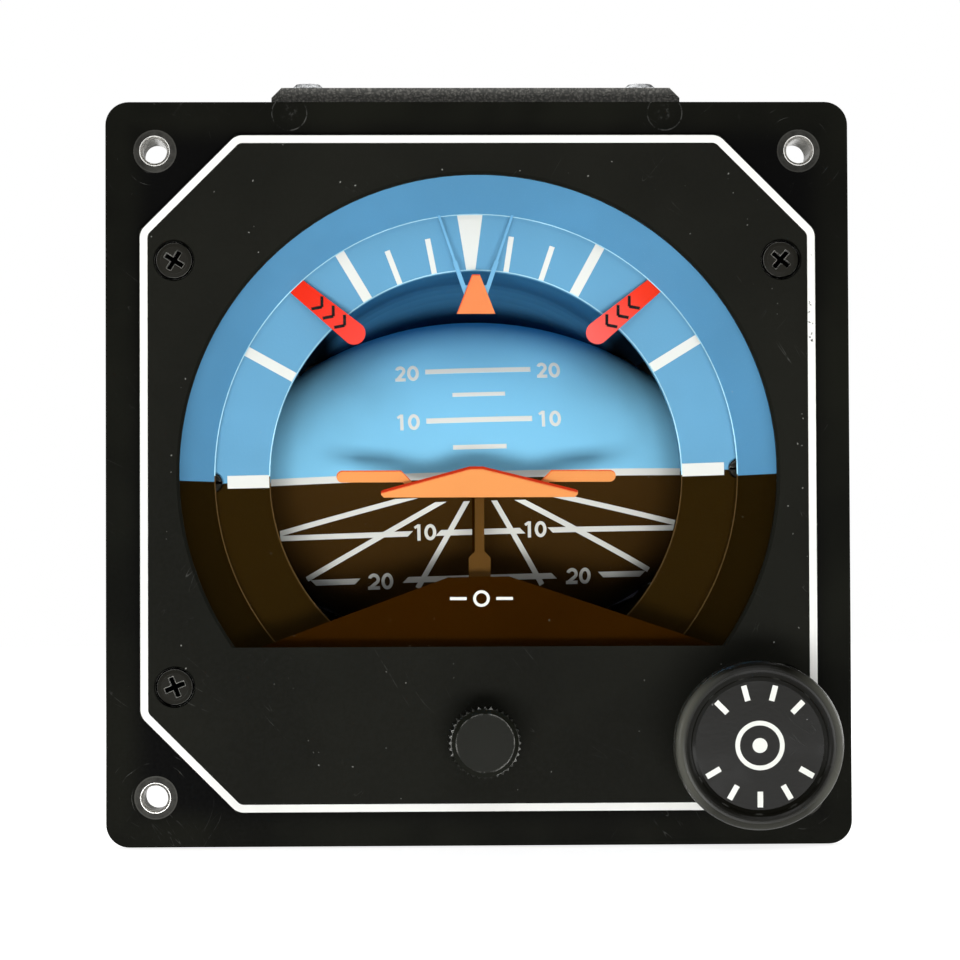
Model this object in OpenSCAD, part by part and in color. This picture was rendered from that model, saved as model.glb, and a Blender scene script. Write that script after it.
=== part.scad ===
// Flight director indicator for an instrument panel.
// Frame: X to the viewer's right, Y into the panel, Z up. The origin is the centre of the
// four mounting holes, on the front face of the flange that seats behind the panel.

/* [Flange and face plate] */
// Width and height of the square flange
flange_w = 102.4; // [98:0.1:112]
// Thickness of the flange
flange_t = 6; // [5:0.1:8]
// Corner radius of the flange
flange_corner_r = 3.2; // [1:0.1:6]
// Distance between mounting hole centres
hole_pitch = 88.9; // [87:0.1:90]
// Bore radius of a mounting insert
insert_bore_r = 1.7; // [1.2:0.05:1.8]
// Barrel radius of a mounting insert
insert_r = 2.1; // [2:0.05:2.4]
// Radius of the clinching collar behind the flange
insert_collar_r = 2.8; // [2.6:0.05:3]
// Length of an insert
insert_len = 9; // [8:0.1:12]
// Width of the octagonal face plate
face_w = 93; // [92:0.1:97]
// Corner cut of the face plate, measured along its side
face_cut = 13.2; // [8:0.1:16]
// Thickness of the face plate
face_t = 1.5; // [1.5:0.1:3]
// Radius of the dial window in the face plate
window_r = 41.1; // [37:0.1:42]
// Height of the straight lower edge of the window
window_chord_z = -23.9; // [-25:0.1:-20]
// Bevel round the edge of the window
window_bevel = 0.4; // [0.1:0.05:0.8]
// Sideways position of the face screws
face_screw_x = 41.75; // [40:0.05:43]
// Height of the face screws above and below centre
face_screw_z = 29.25; // [28:0.05:34]
// Radius of a face screw head
face_screw_r = 2.65; // [2:0.05:3]

/* [Window and dial surround] */
// Thickness of the window glass
glass_t = 2; // [1:0.1:2.4]
// Thickness of the sealing gasket
gasket_t = 0.5; // [0.3:0.1:0.8]
// How far the glass reaches beyond the window
glass_lap = 1.9; // [1.5:0.1:2.5]
// How far the surround narrows from the window to its rear edge
surround_narrowing = 4.5; // [2:0.1:8]
// Depth of the rear edge of the surround
surround_back_y = 10; // [9.5:0.1:12]
// Height of the flat top of the lower mask
mask_top_z = -14.3; // [-18:0.1:-12]
// Width of the flat top of the lower mask
mask_top_w = 8.4; // [5:0.1:14]
// Slope of the sides of the lower mask, in degrees
mask_slope = 19.4; // [10:0.1:30]
// Turn at which the lower mask is fitted, in degrees, positive with the right side up
mask_turn = 0.8; // [-2:0.1:2]
// Gap between the top of the bank index and the inner edge of the roll ring
index_gap = 0.8; // [0:0.1:3]
// Height of the bank index from base to top
index_h = 5.5; // [3:0.1:8]
// Width of the base of the bank index
index_w = 5.4; // [3:0.1:8]

/* [Roll gimbal and horizon drum] */
// Bank shown at rest, in degrees, positive with the right side up
rest_bank = 1.4; // [-5:0.1:5]
// Pitch of the drum at rest, in degrees, positive with the horizon up
rest_pitch = 1.4; // [-5:0.1:5]
// How far the roll ring reaches under the surround
ring_lap = 1.9; // [1:0.1:4]
// Width of the roll ring from its outer to its inner edge
ring_w = 9.6; // [6:0.1:12]
// Depth of the front edge of the roll ring
ring_y = 11.2; // [11:0.1:13]
// Largest radius of the horizon drum
drum_r = 23.4; // [20:0.1:25]
// Radius of the barrel curve of the drum
drum_curve_r = 47; // [42:0.5:60]
// Half length of the horizon drum
drum_half = 32; // [28:0.1:32.5]
// Wall of the horizon drum
drum_wall = 1; // [0.6:0.1:1.5]
// Depth of the drum axis
drum_y = 40; // [38:0.1:42]
// Depth of the pitch axis of the gyro
gyro_y = 100; // [98:0.1:110]
// Inner width between the side plates of the yoke
yoke_inner_w = 72.4; // [71.5:0.1:74]
// Thickness of the yoke's side plates
yoke_plate_t = 2.2; // [1.5:0.1:2.6]
// Radius of the gyro housing
gyro_r = 25.5; // [22:0.1:26.5]
// Half height of the gyro housing
gyro_half = 22; // [18:0.1:23]
// Wall of the gyro housing
gyro_wall = 1.5; // [1:0.1:2]
// Radius of the gyro rotor
rotor_r = 21; // [17:0.1:22]
// Module of the pitch gear train
gear_module = 1; // [0.8:0.05:1]

/* [Knobs and flags] */
// Sideways position of the adjusting knob
adjust_x = 0.4; // [-2:0.1:2]
// Height of the adjusting knob
adjust_z = -36.8; // [-38:0.1:-36]
// Radius of the knurled adjusting knob
adjust_r = 4.9; // [4:0.1:6]
// Length of the adjusting knob
adjust_len = 9; // [6:0.1:12]
// Number of knurls on the adjusting knob
knurls = 36; // [24:1:48]
// Sideways position of the erecting knob
erect_x = 36.9; // [36.5:0.1:37.8]
// Height of the erecting knob
erect_z = -37.1; // [-37.8:0.1:-36.5]
// Radius of the erecting knob
erect_r = 11.3; // [9:0.1:13]
// Distance that the erecting knob pulls out
erect_pull = 6; // [4:0.1:8]
// Distance of a flag's pivot from the dial centre
flag_pivot_r = 47; // [46:0.1:48]
// Length of a flag beyond the width of the roll ring that it crosses
flag_reach = 4.4; // [3:0.1:9]
// How far a flag is turned up from the line between its pivot and the dial centre
flag_turn = 5.6; // [0:0.1:8]
// Width of a flag at its tip
flag_w = 3.2; // [2.6:0.1:4.2]
// Width of a flag at its pivot
flag_root_w = 1.7; // [1.2:0.1:3.6]

/* [Airplane symbol and command bars] */
// Sideways position of the airplane symbol
symbol_x = 0.3; // [-1:0.1:1]
// Half span of the airplane symbol
symbol_half = 13.7; // [10:0.1:16]
// Height of the airplane symbol's apex
symbol_top_z = 1.1; // [0.5:0.1:3]
// Height of the airplane symbol's rear edge
symbol_base_z = -3.2; // [-3.5:0.1:-2]
// Sideways offset of the airplane symbol's apex from the middle of its span
symbol_lean = -0.45; // [-1:0.05:1]
// Chamfer along the upper edges of the airplane symbol
symbol_chamfer = 0.35; // [0.1:0.05:0.6]
// Half span of the command bars
bar_half = 19.5; // [16:0.1:21]
// Sideways position of the command bars from the airplane symbol
bar_shift = -0.4; // [-1:0.1:1]
// Height of a command bar
bar_h = 1.65; // [1.2:0.05:2]
// Travel of the airplane symbol up and down from rest
symbol_travel = 3.5; // [2:0.1:3.5]
// Travel of the command bars up and down from rest
bar_travel = 4.5; // [3:0.1:4.5]

/* [Case] */
// Width and height of the case
case_w = 98; // [97:0.1:100]
// Corner cut of the case, measured along its side
case_cut = 14; // [13:0.1:15]
// Wall of the case
case_wall = 1.8; // [1.2:0.1:1.9]
// Space between the end of the roll shaft and the rear plate
rear_room = 9; // [8:0.1:60]
// Thickness of the rear plate
rear_t = 3; // [2:0.1:5]
// Width of the raised cover on top of the case
cover_w = 57; // [50:0.5:62]
// Height of the raised cover above the case
cover_h = 5; // [4:0.1:8]
// Length of the raised cover
cover_len = 118; // [90:1:130]
// Radius of the rear connector's shell
connector_r = 11; // [8:0.1:13]
// Length of the rear connector's shell
connector_len = 13; // [10:0.1:18]

/* [Fits] */
// Clearance of a running shaft in its bore
run_gap = 0.05; // [0.02:0.01:0.09]
// Gap between pieces that are assembled without a fit
loose_gap = 0.2; // [0.1:0.05:0.3]
// Clearance in depth between pieces that slide past each other
slide_gap = 0.35; // [0.3:0.01:0.4]

/* [Hidden] */
$fn = 64;

body_black = "#1c1c1a";
sky_blue = "#6aaede";
earth_brown = "#3a2410";
signal_orange = "#fd9a5c";
flag_red = "#f43e2a";
steel_grey = "#b9bcc0";
alloy_grey = "#d5d7d9";
brass_gold = "#c9a552";

// Tiny overshoot of a cutting body past the face it opens
over = 0.05;

// Inner and outer half widths of the case, and its inner corner cut
case_half = case_w / 2;
case_in = case_half - case_wall;
case_in_cut = case_cut - case_wall * (2 - sqrt(2));

// Pockets of the face screws
face_screw_pocket = 1.2;

// Depths of the layers behind the face plate
opening_r = window_r + glass_lap + loose_gap;
opening_z = window_chord_z - glass_lap - loose_gap;
glass_y = gasket_t;
surround_y = glass_y + glass_t + 0.1;
surround_front_r = window_r + 0.6;
surround_in_r = window_r - surround_narrowing;
surround_lip_r = opening_r + 2.2;
surround_lip_t = 1.4;
surround_screw_r = opening_r + 1.1;
surround_screw_angles = [20, 70, 110, 160];
surround_shank_r = 0.6;
mask_y = surround_y + 0.4;
mask_t = 0.8;
symbol_y = 6.2;
symbol_t = 0.8;
post_y = symbol_y + symbol_t;
post_t = 0.8;
airplane_slide_y = post_y + post_t;
airplane_slide_t = 1.2;
bar_y = post_y + post_t + slide_gap + 0.05;
bar_t = 0.8;
bar_x = symbol_x + bar_shift;
command_slide_y = airplane_slide_y + airplane_slide_t + slide_gap;
command_slide_t = 1;
index_y = 9.2;
index_t = 0.5;
flag_y = surround_back_y + slide_gap;
flag_t = 0.5;
bracket_y = ring_y;
bracket_t = 1.2;

// Roll ring and yoke, whose front ring reaches the side plates
ring_r = surround_in_r + ring_lap;
ring_in_r = ring_r - ring_w;
ring_cone = 1.6;
ring_t = 3.2;
ring_back_y = ring_y + ring_t;
shade_gap = 0.5;
shade_t = 0.8;
shade_out_r = ring_in_r + 1.1;
shade_curve_r = 9;
shade_back_y = drum_y + 7;
shade_half_angle = 57;
yoke_ring_t = 2.6;
yoke_x = yoke_inner_w / 2;
yoke_out_x = yoke_x + yoke_plate_t;
yoke_ring_r = max(ring_r, yoke_out_x + 0.1);
yoke_plate_half = 14;
yoke_hub_r = 9;
yoke_lap = 1.5;
yoke_back_y = gyro_y + sqrt(pow(gyro_r, 2) + pow(gyro_half, 2)) + 2.3;
yoke_back_t = 3;
ring_screw_x = ring_r - 1.6;
ring_screw_r = 0.8;
ring_head_r = 1.3;
ring_head_t = 0.9;
index_top_z = ring_in_r - index_gap;
index_base_z = index_top_z - index_h;

// Pitch gear train: the sector and the drum gear turn two to one
sector_teeth = 32;
idler_teeth = round(((gyro_y - drum_y) / gear_module - 24) / 4) * 2;
drum_teeth = 16;
sector_r = gear_module * sector_teeth / 2;
drum_gear_r = gear_module * drum_teeth / 2;
idler_r = (gyro_y - drum_y - sector_r - drum_gear_r) / 4;
rear_idler_y = gyro_y - sector_r - idler_r;
front_idler_y = drum_y + drum_gear_r + idler_r;
gear_t = 1.8;
gear_x = drum_half + 1.6;
idler_pin_r = 1.2;
drum_shaft_r = 1.5;
trunnion_r = 2.5;
boss_r = 6;
boss_x = gear_x - 3.6;
gyro_edge = 4;
rotor_half = 12;
rotor_shaft_r = 2;

// Roll shaft and its rear support
bulkhead_y = yoke_back_y + yoke_back_t + 6;
bulkhead_t = 4;
bulkhead_hole_x = case_in - 11.2;
bulkhead_hole_r = 7;
hub_r = 14;
hub_len = 26;
roll_shaft_r = 5;
bearing_r = 11;
bearing_len = 6;
slip_y = bulkhead_y + hub_len + 3;
slip_len = 10;
slip_r = 7;
shaft_end_y = slip_y + slip_len + 1;
case_back_y = shaft_end_y + rear_room;
brush_pitch = 2.4;
brushes = 4;
brush_half = 6;

// Racks and pinions of the two sliding carriages
rack_module = 0.6;
pinion_teeth = 10;
pinion_r = rack_module * pinion_teeth / 2;
rack_pitch = PI * rack_module;
command_motor_x = -29.5;
command_motor_z = -35;
motor_r = 3.5;
motor_len = 20;
airplane_rack_x = adjust_x + pinion_r;
command_rack_x = command_motor_x + pinion_r;
rail_top_z = -26.4;
rail_low_z = -46.6;
cross_top_z = -26.8;
cross_low_z = -30.2;
leg_low_z = rail_low_z + bar_travel + 0.3;
stem_low_z = rail_low_z + symbol_travel + 0.3;
arm_low_z = adjust_z + pinion_r + rack_module + symbol_travel + slide_gap;
arm_t = 4.6;
rail_lip = 0.9;
rail_w = 4.5;
airplane_rail_x = airplane_rack_x + 3.4;
command_rail_x = command_rack_x + 4.4;
stalk_half = 0.55;
pivot_z = -1.2;
pivot_r = 0.5;

// Frame posts, case lugs and corner brackets
post_x = case_in - 3.2;
post_z = 18;
post_r = 1.8;
lug_z = 30;
lug_half = 4;
lug_len = 6;
lug_t = 3.1;
lug_x = case_in - 0.1;
bracket_boss_r = 1.5;
bracket_w = 25.2;
bracket_h = 22.2;

// Flags, with their staffs and motors
flag_angle = 45;
flag_len = flag_pivot_r - ring_in_r + flag_reach;
flag_px = flag_pivot_r * cos(flag_angle);
flag_pz = flag_pivot_r * sin(flag_angle);
staff_r = 0.75;
staff_grip = 5.5;

// Screws that close the case
case_screw_r = 1.2;
case_head_r = 2.2;
case_head_t = 1.4;
rear_screw_x = case_half - 6;
rear_screw_z = 12;
rear_boss_len = 4;
pin_r = 0.5;
cover_y = flange_t + 0.6;
cover_x = cover_w / 2;
cover_wall = 1.2;

// Knobs and their shafts
adjust_shaft_r = 1.5;
knurl_deep = 0.45;
shaft_grip = 5;
rod_grip = 9;
bushing_wall = 1.1;
bushing_head = 0.7;
adjust_rear_y = -face_t - bushing_head - 0.4;
erect_rod_r = 2;
erect_head_t = 10;
erect_stem_r = 4;
recess_deep = 0.9;
rim_w = 2.4;
erect_rear_y = -face_t - bushing_head - 0.4;
erect_front_y = erect_rear_y - 5.2 - erect_head_t;
collar_y = 36;
collar_t = 2;
collar_r = 4.8;
rod_end_y = 46;
spring_r = 2.9;
spring_wire = 0.3;
spring_turns = 9;
switch_w = 7;
switch_len = 11;

// Solid between two depths with its outline in the XZ plane
module slab(y0, y1) {
    translate([0, y1, 0]) rotate([90, 0, 0]) linear_extrude(y1 - y0) children();
}

// Solid turned about the Y axis from points of radius and depth
module turned(points) {
    rotate([-90, 0, 0]) rotate_extrude() polygon(points);
}

// Round bar along Y
module bar_y_axis(y0, y1, r) {
    translate([0, y0, 0]) rotate([-90, 0, 0]) cylinder(h = y1 - y0, r = r);
}

// Round bar along X
module bar_x_axis(x0, x1, r) {
    translate([x0, 0, 0]) rotate([0, 90, 0]) cylinder(h = x1 - x0, r = r);
}

// Moves children to a place on the face
module at_face(x, z) {
    translate([x, 0, z]) children();
}

// Copies children to the four places mirrored in X and Z
module four_ways(x, z) {
    for (sx = [-1, 1], sz = [-1, 1]) at_face(sx * x, sz * z) children();
}

// Turns children to the bank shown at rest
module banked() {
    rotate([0, -rest_bank, 0]) children();
}

module rounded_square(w, r) {
    square([w, w - 2 * r], center = true);
    square([w - 2 * r, w], center = true);
    for (sx = [-1, 1], sy = [-1, 1]) translate([sx * (w / 2 - r), sy * (w / 2 - r)]) circle(r);
}

module octagon(w, cut) {
    h = w / 2;
    polygon([[h, cut - h], [h, h - cut], [h - cut, h], [cut - h, h],
        [-h, h - cut], [-h, cut - h], [cut - h, -h], [h - cut, -h]]);
}

// Circle with its lower part cut off straight
module dial_shape(r, chord_z) {
    intersection() {
        circle(r, $fn = 128);
        translate([-r - 1, chord_z]) square([2 * r + 2, 2 * r + 2]);
    }
}

// One gear tooth as a closed outline, centred on +X
module tooth(r, m, backlash) {
    half = (PI * m / 4 - backlash / 2) / r * 180 / PI;
    tip = r + 0.8 * m;
    root = r - 1.05 * m;
    low = half + 1.05 * m * tan(20) / r * 180 / PI;
    high = half - 0.8 * m * tan(20) / r * 180 / PI;
    polygon([[root - 0.4 * m, 0], [root * cos(low), -root * sin(low)], [r * cos(half), -r * sin(half)],
        [tip * cos(high), -tip * sin(high)], [tip * cos(high), tip * sin(high)],
        [r * cos(half), r * sin(half)], [root * cos(low), root * sin(low)]]);
}

// Gear outline with its first tooth centred on +X, over a given number of teeth
module gear_outline(r, m, teeth, shown, backlash = 0.14) {
    circle(r - 1.02 * m);
    for (i = [0 : shown - 1]) rotate((i - (shown == teeth ? 0 : (shown - 1) / 2)) * 360 / teeth)
        tooth(r, m, backlash);
}

// One rack tooth that points to -X, with its root sunk into the rack
module rack_tooth(m, backlash = 0.14) {
    half = PI * m / 4 - backlash / 2;
    slope = m * tan(20);
    polygon([[-0.8 * m, 0.8 * slope - half], [-0.8 * m, half - 0.8 * slope], [1.05 * m, half + 1.05 * slope],
        [1.6 * m, half + 1.05 * slope], [1.6 * m, -half - 1.05 * slope], [1.05 * m, -half - 1.05 * slope]]);
}

// Cross recess in a screw head that faces -Y at depth y0
module cross_recess(y0, size, deep) {
    for (a = [0, 90]) rotate([0, a, 0])
        translate([-size / 2, y0 - over, -size / 8]) cube([size, deep + over, size / 4]);
}

module bezel_flange() {
    color(body_black) {
        difference() {
            slab(0, flange_t) rounded_square(flange_w, flange_corner_r);
            slab(-over, flange_t + over) dial_shape(opening_r, opening_z);
            four_ways(hole_pitch / 2, hole_pitch / 2) bar_y_axis(-over, flange_t + over, insert_r);
            four_ways(face_screw_x, face_screw_z)
                bar_y_axis(-over, flange_t + over, face_screw_r - 1.15);
            at_face(adjust_x, adjust_z)
                bar_y_axis(-over, flange_t + over, adjust_shaft_r + bushing_wall + 0.01);
            at_face(erect_x, erect_z)
                bar_y_axis(-over, flange_t + over, erect_rod_r + bushing_wall + 0.01);
        }
        for (sx = [-1, 1], sz = [-1, 1]) difference() {
            translate([sx > 0 ? lug_x - lug_t : -lug_x, flange_t, sz * lug_z - lug_half])
                cube([lug_t, lug_len, 2 * lug_half]);
            translate([0, flange_t + lug_len / 2, sz * lug_z])
                bar_x_axis(-case_w, case_w, case_screw_r + 0.02);
        }
    }
}

module mounting_inserts() {
    color(steel_grey) four_ways(hole_pitch / 2, hole_pitch / 2)
        turned([[insert_bore_r, 0.4], [insert_bore_r + 0.3, 0], [insert_r, 0], [insert_r, flange_t],
            [insert_collar_r, flange_t], [insert_collar_r, insert_len], [insert_bore_r, insert_len]]);
}

module face_plate() {
    pocket_y = -face_t + face_screw_pocket;
    color(body_black) difference() {
        slab(-face_t, 0) octagon(face_w, face_cut);
        slab(-face_t - over, over) dial_shape(window_r, window_chord_z);
        intersection() {
            turned([[0, -face_t - over], [window_r + window_bevel + over, -face_t - over],
                [window_r - over, -face_t + window_bevel], [0, -face_t + window_bevel]]);
            translate([-window_r - 2, -face_t - 1, window_chord_z]) cube(2 * window_r + 4);
        }
        four_ways(face_screw_x, face_screw_z) {
            bar_y_axis(-face_t - over, pocket_y, face_screw_r + loose_gap);
            bar_y_axis(pocket_y - over, over, face_screw_r - 1.1);
        }
        at_face(adjust_x, adjust_z) bar_y_axis(-face_t - over, over, adjust_shaft_r + bushing_wall + 0.01);
        at_face(erect_x, erect_z) bar_y_axis(-face_t - over, over, erect_rod_r + bushing_wall + 0.01);
    }
}

module face_screws() {
    head_y = -face_t + 0.2;
    seat_y = -face_t + face_screw_pocket;
    shank_r = face_screw_r - 1.2;
    // Turn of each cross clockwise, from the lower left screw by columns
    turns = [68, 32, 12, 40];
    color(body_black) for (i = [0 : 3])
        at_face((i < 2 ? -1 : 1) * face_screw_x, (i % 2 == 0 ? -1 : 1) * face_screw_z) difference() {
            turned([[0, head_y], [face_screw_r - 0.8, head_y], [face_screw_r - 0.25, head_y + 0.15],
                [face_screw_r, head_y + 0.45], [face_screw_r, seat_y], [shank_r, seat_y],
                [shank_r, flange_t - 0.5], [0, flange_t - 0.5]]);
            rotate([0, turns[i], 0]) cross_recess(head_y, 2.9, 0.7);
        }
}

module window_gasket() {
    color("#2b2b2b") slab(0, gasket_t) difference() {
        dial_shape(opening_r - loose_gap, opening_z + loose_gap);
        dial_shape(window_r + 0.4, window_chord_z - 0.4);
    }
}

module window_glass() {
    color("#dfeef2", 0.25) slab(glass_y, glass_y + glass_t)
        dial_shape(opening_r - loose_gap, opening_z + loose_gap);
}

// Cone ring between the glass and the roll ring, without its lower cut
module surround_solid() {
    turned([[surround_front_r, surround_y], [opening_r - loose_gap, surround_y],
        [opening_r - loose_gap, flange_t], [surround_lip_r, flange_t],
        [surround_lip_r, flange_t + surround_lip_t], [opening_r - 1.4, flange_t + surround_lip_t],
        [surround_in_r + 1.6, surround_back_y], [surround_in_r, surround_back_y]], $fn = 128);
}

module dial_surround() {
    color(sky_blue) difference() {
        intersection() {
            surround_solid();
            translate([-flange_w, 0, window_chord_z - 0.6]) cube([2 * flange_w, flange_w, flange_w]);
        }
        for (a = surround_screw_angles) rotate([0, -a, 0]) at_face(surround_screw_r, 0)
            bar_y_axis(flange_t - over, flange_t + surround_lip_t + over, surround_shank_r + 0.02);
    }
}

module surround_screws() {
    top_y = flange_t + surround_lip_t;
    color(steel_grey) for (a = surround_screw_angles) rotate([0, -a, 0]) at_face(surround_screw_r, 0) {
        bar_y_axis(flange_t, top_y, surround_shank_r);
        bar_y_axis(top_y, top_y + 0.6, 1);
    }
}

module lower_mask() {
    edge_r = surround_front_r - 1;
    side_x = window_r + 4;
    side_z = mask_top_z - (side_x - mask_top_w / 2) * tan(mask_slope);
    color(earth_brown) slab(mask_y, mask_y + mask_t) intersection() {
        translate([0, mask_top_z]) rotate(mask_turn) translate([0, -mask_top_z])
            polygon([[-mask_top_w / 2, mask_top_z], [mask_top_w / 2, mask_top_z], [side_x, side_z],
                [side_x, -window_r * 2], [-side_x, -window_r * 2], [-side_x, side_z]]);
        dial_shape(edge_r, opening_z + loose_gap);
    }
}

// Thin strip between two points of the dial, seen edge-on from the front
module edge_strip(x0, z0, x1, z1, t, y0, y1) {
    len = norm([x1 - x0, z1 - z0]);
    translate([x0, y0, z0]) rotate([0, -atan2(z1 - z0, x1 - x0), 0])
        translate([0, 0, -t / 2]) cube([len, y1 - y0, t]);
}

module bank_index_bracket() {
    front_y = index_y + index_t;
    back_y = surround_back_y;
    upper_t = 0.35;
    lower_t = 0.6;
    end_r = surround_in_r + 0.35;
    low = [1.1, index_base_z + 2];
    high = [5.2, sqrt(pow(end_r, 2) - pow(5.2, 2))];
    bend = low + 0.45 * (high - low);
    color(sky_blue) difference() {
        union() {
            for (sx = [-1, 1]) {
                edge_strip(sx * low[0], low[1], sx * high[0], high[1], upper_t, front_y, back_y);
                edge_strip(sx * low[0], low[1], sx * bend[0], bend[1], lower_t, front_y, back_y);
            }
            translate([-1.5, front_y, index_base_z + 1.4]) cube([3, back_y - front_y, 2.6]);
        }
        surround_solid();
    }
}

module bank_index() {
    color(signal_orange) slab(index_y, index_y + index_t)
        polygon([[-index_w / 2, index_base_z], [index_w / 2, index_base_z], [0.55, index_top_z],
            [-0.55, index_top_z]]);
}

// Corner plate that carries a small motor, outside the sweep of the roll gimbal
module corner_bracket(px, pz, bosses) {
    sx = sign(px);
    sz = sign(pz);
    inner_x = case_in - bracket_w;
    inner_z = case_in - bracket_h;
    difference() {
        slab(bracket_y, bracket_y + bracket_t) difference() {
            intersection() {
                octagon(case_w - 2 * case_wall - 1, case_in_cut);
                translate([sx > 0 ? inner_x : -case_in, sz > 0 ? inner_z : -case_in])
                    square([bracket_w, bracket_h]);
            }
            circle(yoke_ring_r + 0.9, $fn = 128);
            translate([sx * (lug_x - lug_t / 2), sz * lug_z])
                square([lug_t + 0.6, 2 * lug_half + 3], center = true);
        }
        at_face(px, pz) bar_y_axis(bracket_y - over, bracket_y + bracket_t + over, staff_r + loose_gap);
    }
    for (b = bosses) at_face(b[0], b[1]) bar_y_axis(flange_t, bracket_y, bracket_boss_r);
}

module corner_brackets() {
    color(alloy_grey) {
        for (sx = [-1, 1])
            corner_bracket(sx * flag_px, flag_pz,
                [[sx * (case_in - 5.9), case_in - 10.2], [sx * (case_in - 11.7), case_in - 5]]);
        corner_bracket(command_motor_x, command_motor_z,
            [[8.7 - case_in, 10.7 - case_in], [12.2 - case_in, 4.7 - case_in]]);
    }
}

// Small motor behind a corner bracket, with a bore for the shaft that it turns
module small_motor(px, pz, shaft_r) {
    y0 = bracket_y + bracket_t;
    y1 = y0 + motor_len;
    bore_y = y0 + staff_grip + 0.5;
    at_face(px, pz) turned([[shaft_r, y0], [motor_r - 0.3, y0], [motor_r, y0 + 0.3], [motor_r, y1 - 0.4],
        [motor_r - 0.4, y1], [0, y1], [0, bore_y], [shaft_r, bore_y]]);
}

module flag_motors() {
    color(steel_grey) for (sx = [-1, 1]) small_motor(sx * flag_px, flag_pz, staff_r + run_gap);
}

module command_motor() {
    color(steel_grey) small_motor(command_motor_x, command_motor_z, staff_r + run_gap);
}

// Fixed rail with one groove or more, each given by its first and last depth
module guide_rail(x, grooves) {
    rail_back_y = command_slide_y + command_slide_t + 0.5;
    rail_h = rail_top_z - rail_low_z;
    difference() {
        translate([x - rail_lip, flange_t, rail_low_z]) cube([rail_w, rail_back_y - flange_t, rail_h]);
        for (g = grooves) translate([x - rail_lip - over, g[0] - run_gap, rail_low_z - over])
            cube([rail_lip + over + run_gap, g[1] - g[0] + 2 * run_gap, rail_h + 2 * over]);
        children();
    }
}

// Fixed grooved rails for the two sliding carriages
module slide_guides() {
    airplane_groove = [airplane_slide_y, airplane_slide_y + airplane_slide_t];
    command_groove = [command_slide_y, command_slide_y + command_slide_t];
    notch_low_z = cross_low_z - bar_travel - 0.3;
    color(alloy_grey) {
        guide_rail(airplane_rail_x, [airplane_groove, command_groove]);
        guide_rail(command_rail_x, [command_groove])
            translate([command_rail_x - rail_lip - over, command_slide_y - run_gap, notch_low_z])
                cube([rail_w + 2 * over, command_slide_t + 0.5 + 2 * run_gap, rail_top_z - notch_low_z + 1]);
    }
}

// Flanged bearing bush through the face plate and the flange
module face_bushing(bore) {
    turned([[bore, -face_t - bushing_head], [bore + bushing_wall + 0.9, -face_t - bushing_head],
        [bore + bushing_wall + 0.9, -face_t], [bore + bushing_wall - run_gap, -face_t],
        [bore + bushing_wall - run_gap, flange_t], [bore, flange_t]]);
}

module adjust_bushing() {
    color(brass_gold) at_face(adjust_x, adjust_z) face_bushing(adjust_shaft_r + run_gap);
}

module erect_bushing() {
    color(brass_gold) at_face(erect_x, erect_z) face_bushing(erect_rod_r + run_gap);
}

module frame_posts() {
    color(alloy_grey) four_ways(post_x, post_z) bar_y_axis(flange_t, bulkhead_y, post_r);
}

module bearing_bulkhead() {
    color(alloy_grey) difference() {
        union() {
            slab(bulkhead_y, bulkhead_y + bulkhead_t)
                octagon(case_w - 2 * case_wall - 2 * loose_gap, case_in_cut);
            bar_y_axis(bulkhead_y + bulkhead_t - over, bulkhead_y + hub_len, hub_r);
        }
        bar_y_axis(bulkhead_y - over, bulkhead_y + bearing_len, bearing_r);
        bar_y_axis(bulkhead_y - over, bulkhead_y + hub_len + over, bearing_r - 2);
        bar_y_axis(bulkhead_y + hub_len - bearing_len, bulkhead_y + hub_len + over, bearing_r);
        for (a = [45 : 90 : 315]) rotate([0, a, 0]) at_face(bulkhead_hole_x, 0)
            bar_y_axis(bulkhead_y - over, bulkhead_y + bulkhead_t + over, bulkhead_hole_r);
    }
}

module roll_bearings() {
    color(steel_grey) for (y = [bulkhead_y, bulkhead_y + hub_len - bearing_len]) difference() {
        bar_y_axis(y, y + bearing_len, bearing_r);
        bar_y_axis(y - over, y + bearing_len + over, roll_shaft_r + run_gap);
    }
}

module brush_block() {
    y0 = bulkhead_y + bulkhead_t;
    block_x = slip_r + 5;
    color("#5b3a1e") {
        translate([block_x, slip_y, -brush_half]) cube([5, slip_len, 2 * brush_half]);
        translate([hub_r + loose_gap, y0, -brush_half]) cube([6, slip_y + slip_len - y0, 2 * brush_half]);
    }
    color(brass_gold) for (i = [0 : brushes - 1])
        translate([slip_r + loose_gap, slip_y + 1.2 + i * brush_pitch, slip_r - 4])
            cube([block_x - slip_r - loose_gap, 0.5, 0.8]);
}

module case_outline(inset) {
    octagon(case_w - 2 * inset, case_cut - inset * (2 - sqrt(2)));
}

// Copies children to the four cover screws, at the top of the case
module cover_screws() {
    for (y = [cover_y + 8, cover_y + cover_len - 8], sx = [-1, 1])
        translate([sx * (cover_x - 5), y, case_half]) children();
}

module case_shell() {
    color(body_black) difference() {
        slab(flange_t, case_back_y) case_outline(0);
        slab(flange_t - over, case_back_y + over) case_outline(case_wall);
        for (sz = [-1, 1]) translate([0, flange_t + lug_len / 2, sz * lug_z])
            bar_x_axis(-case_w, case_w, case_screw_r + 0.2);
        cover_screws() translate([0, 0, -case_wall - over])
            cylinder(h = case_wall + 2 * over, r = case_screw_r + 0.02);
    }
}

// Pan head screw along +Z with its seat at height 0 and its shank below
module case_screw(shank) {
    rotate_extrude() polygon([[0, -shank], [case_screw_r, -shank], [case_screw_r, 0], [case_head_r, 0],
        [case_head_r, case_head_t - 0.5], [case_head_r - 0.5, case_head_t], [0, case_head_t]]);
}

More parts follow.
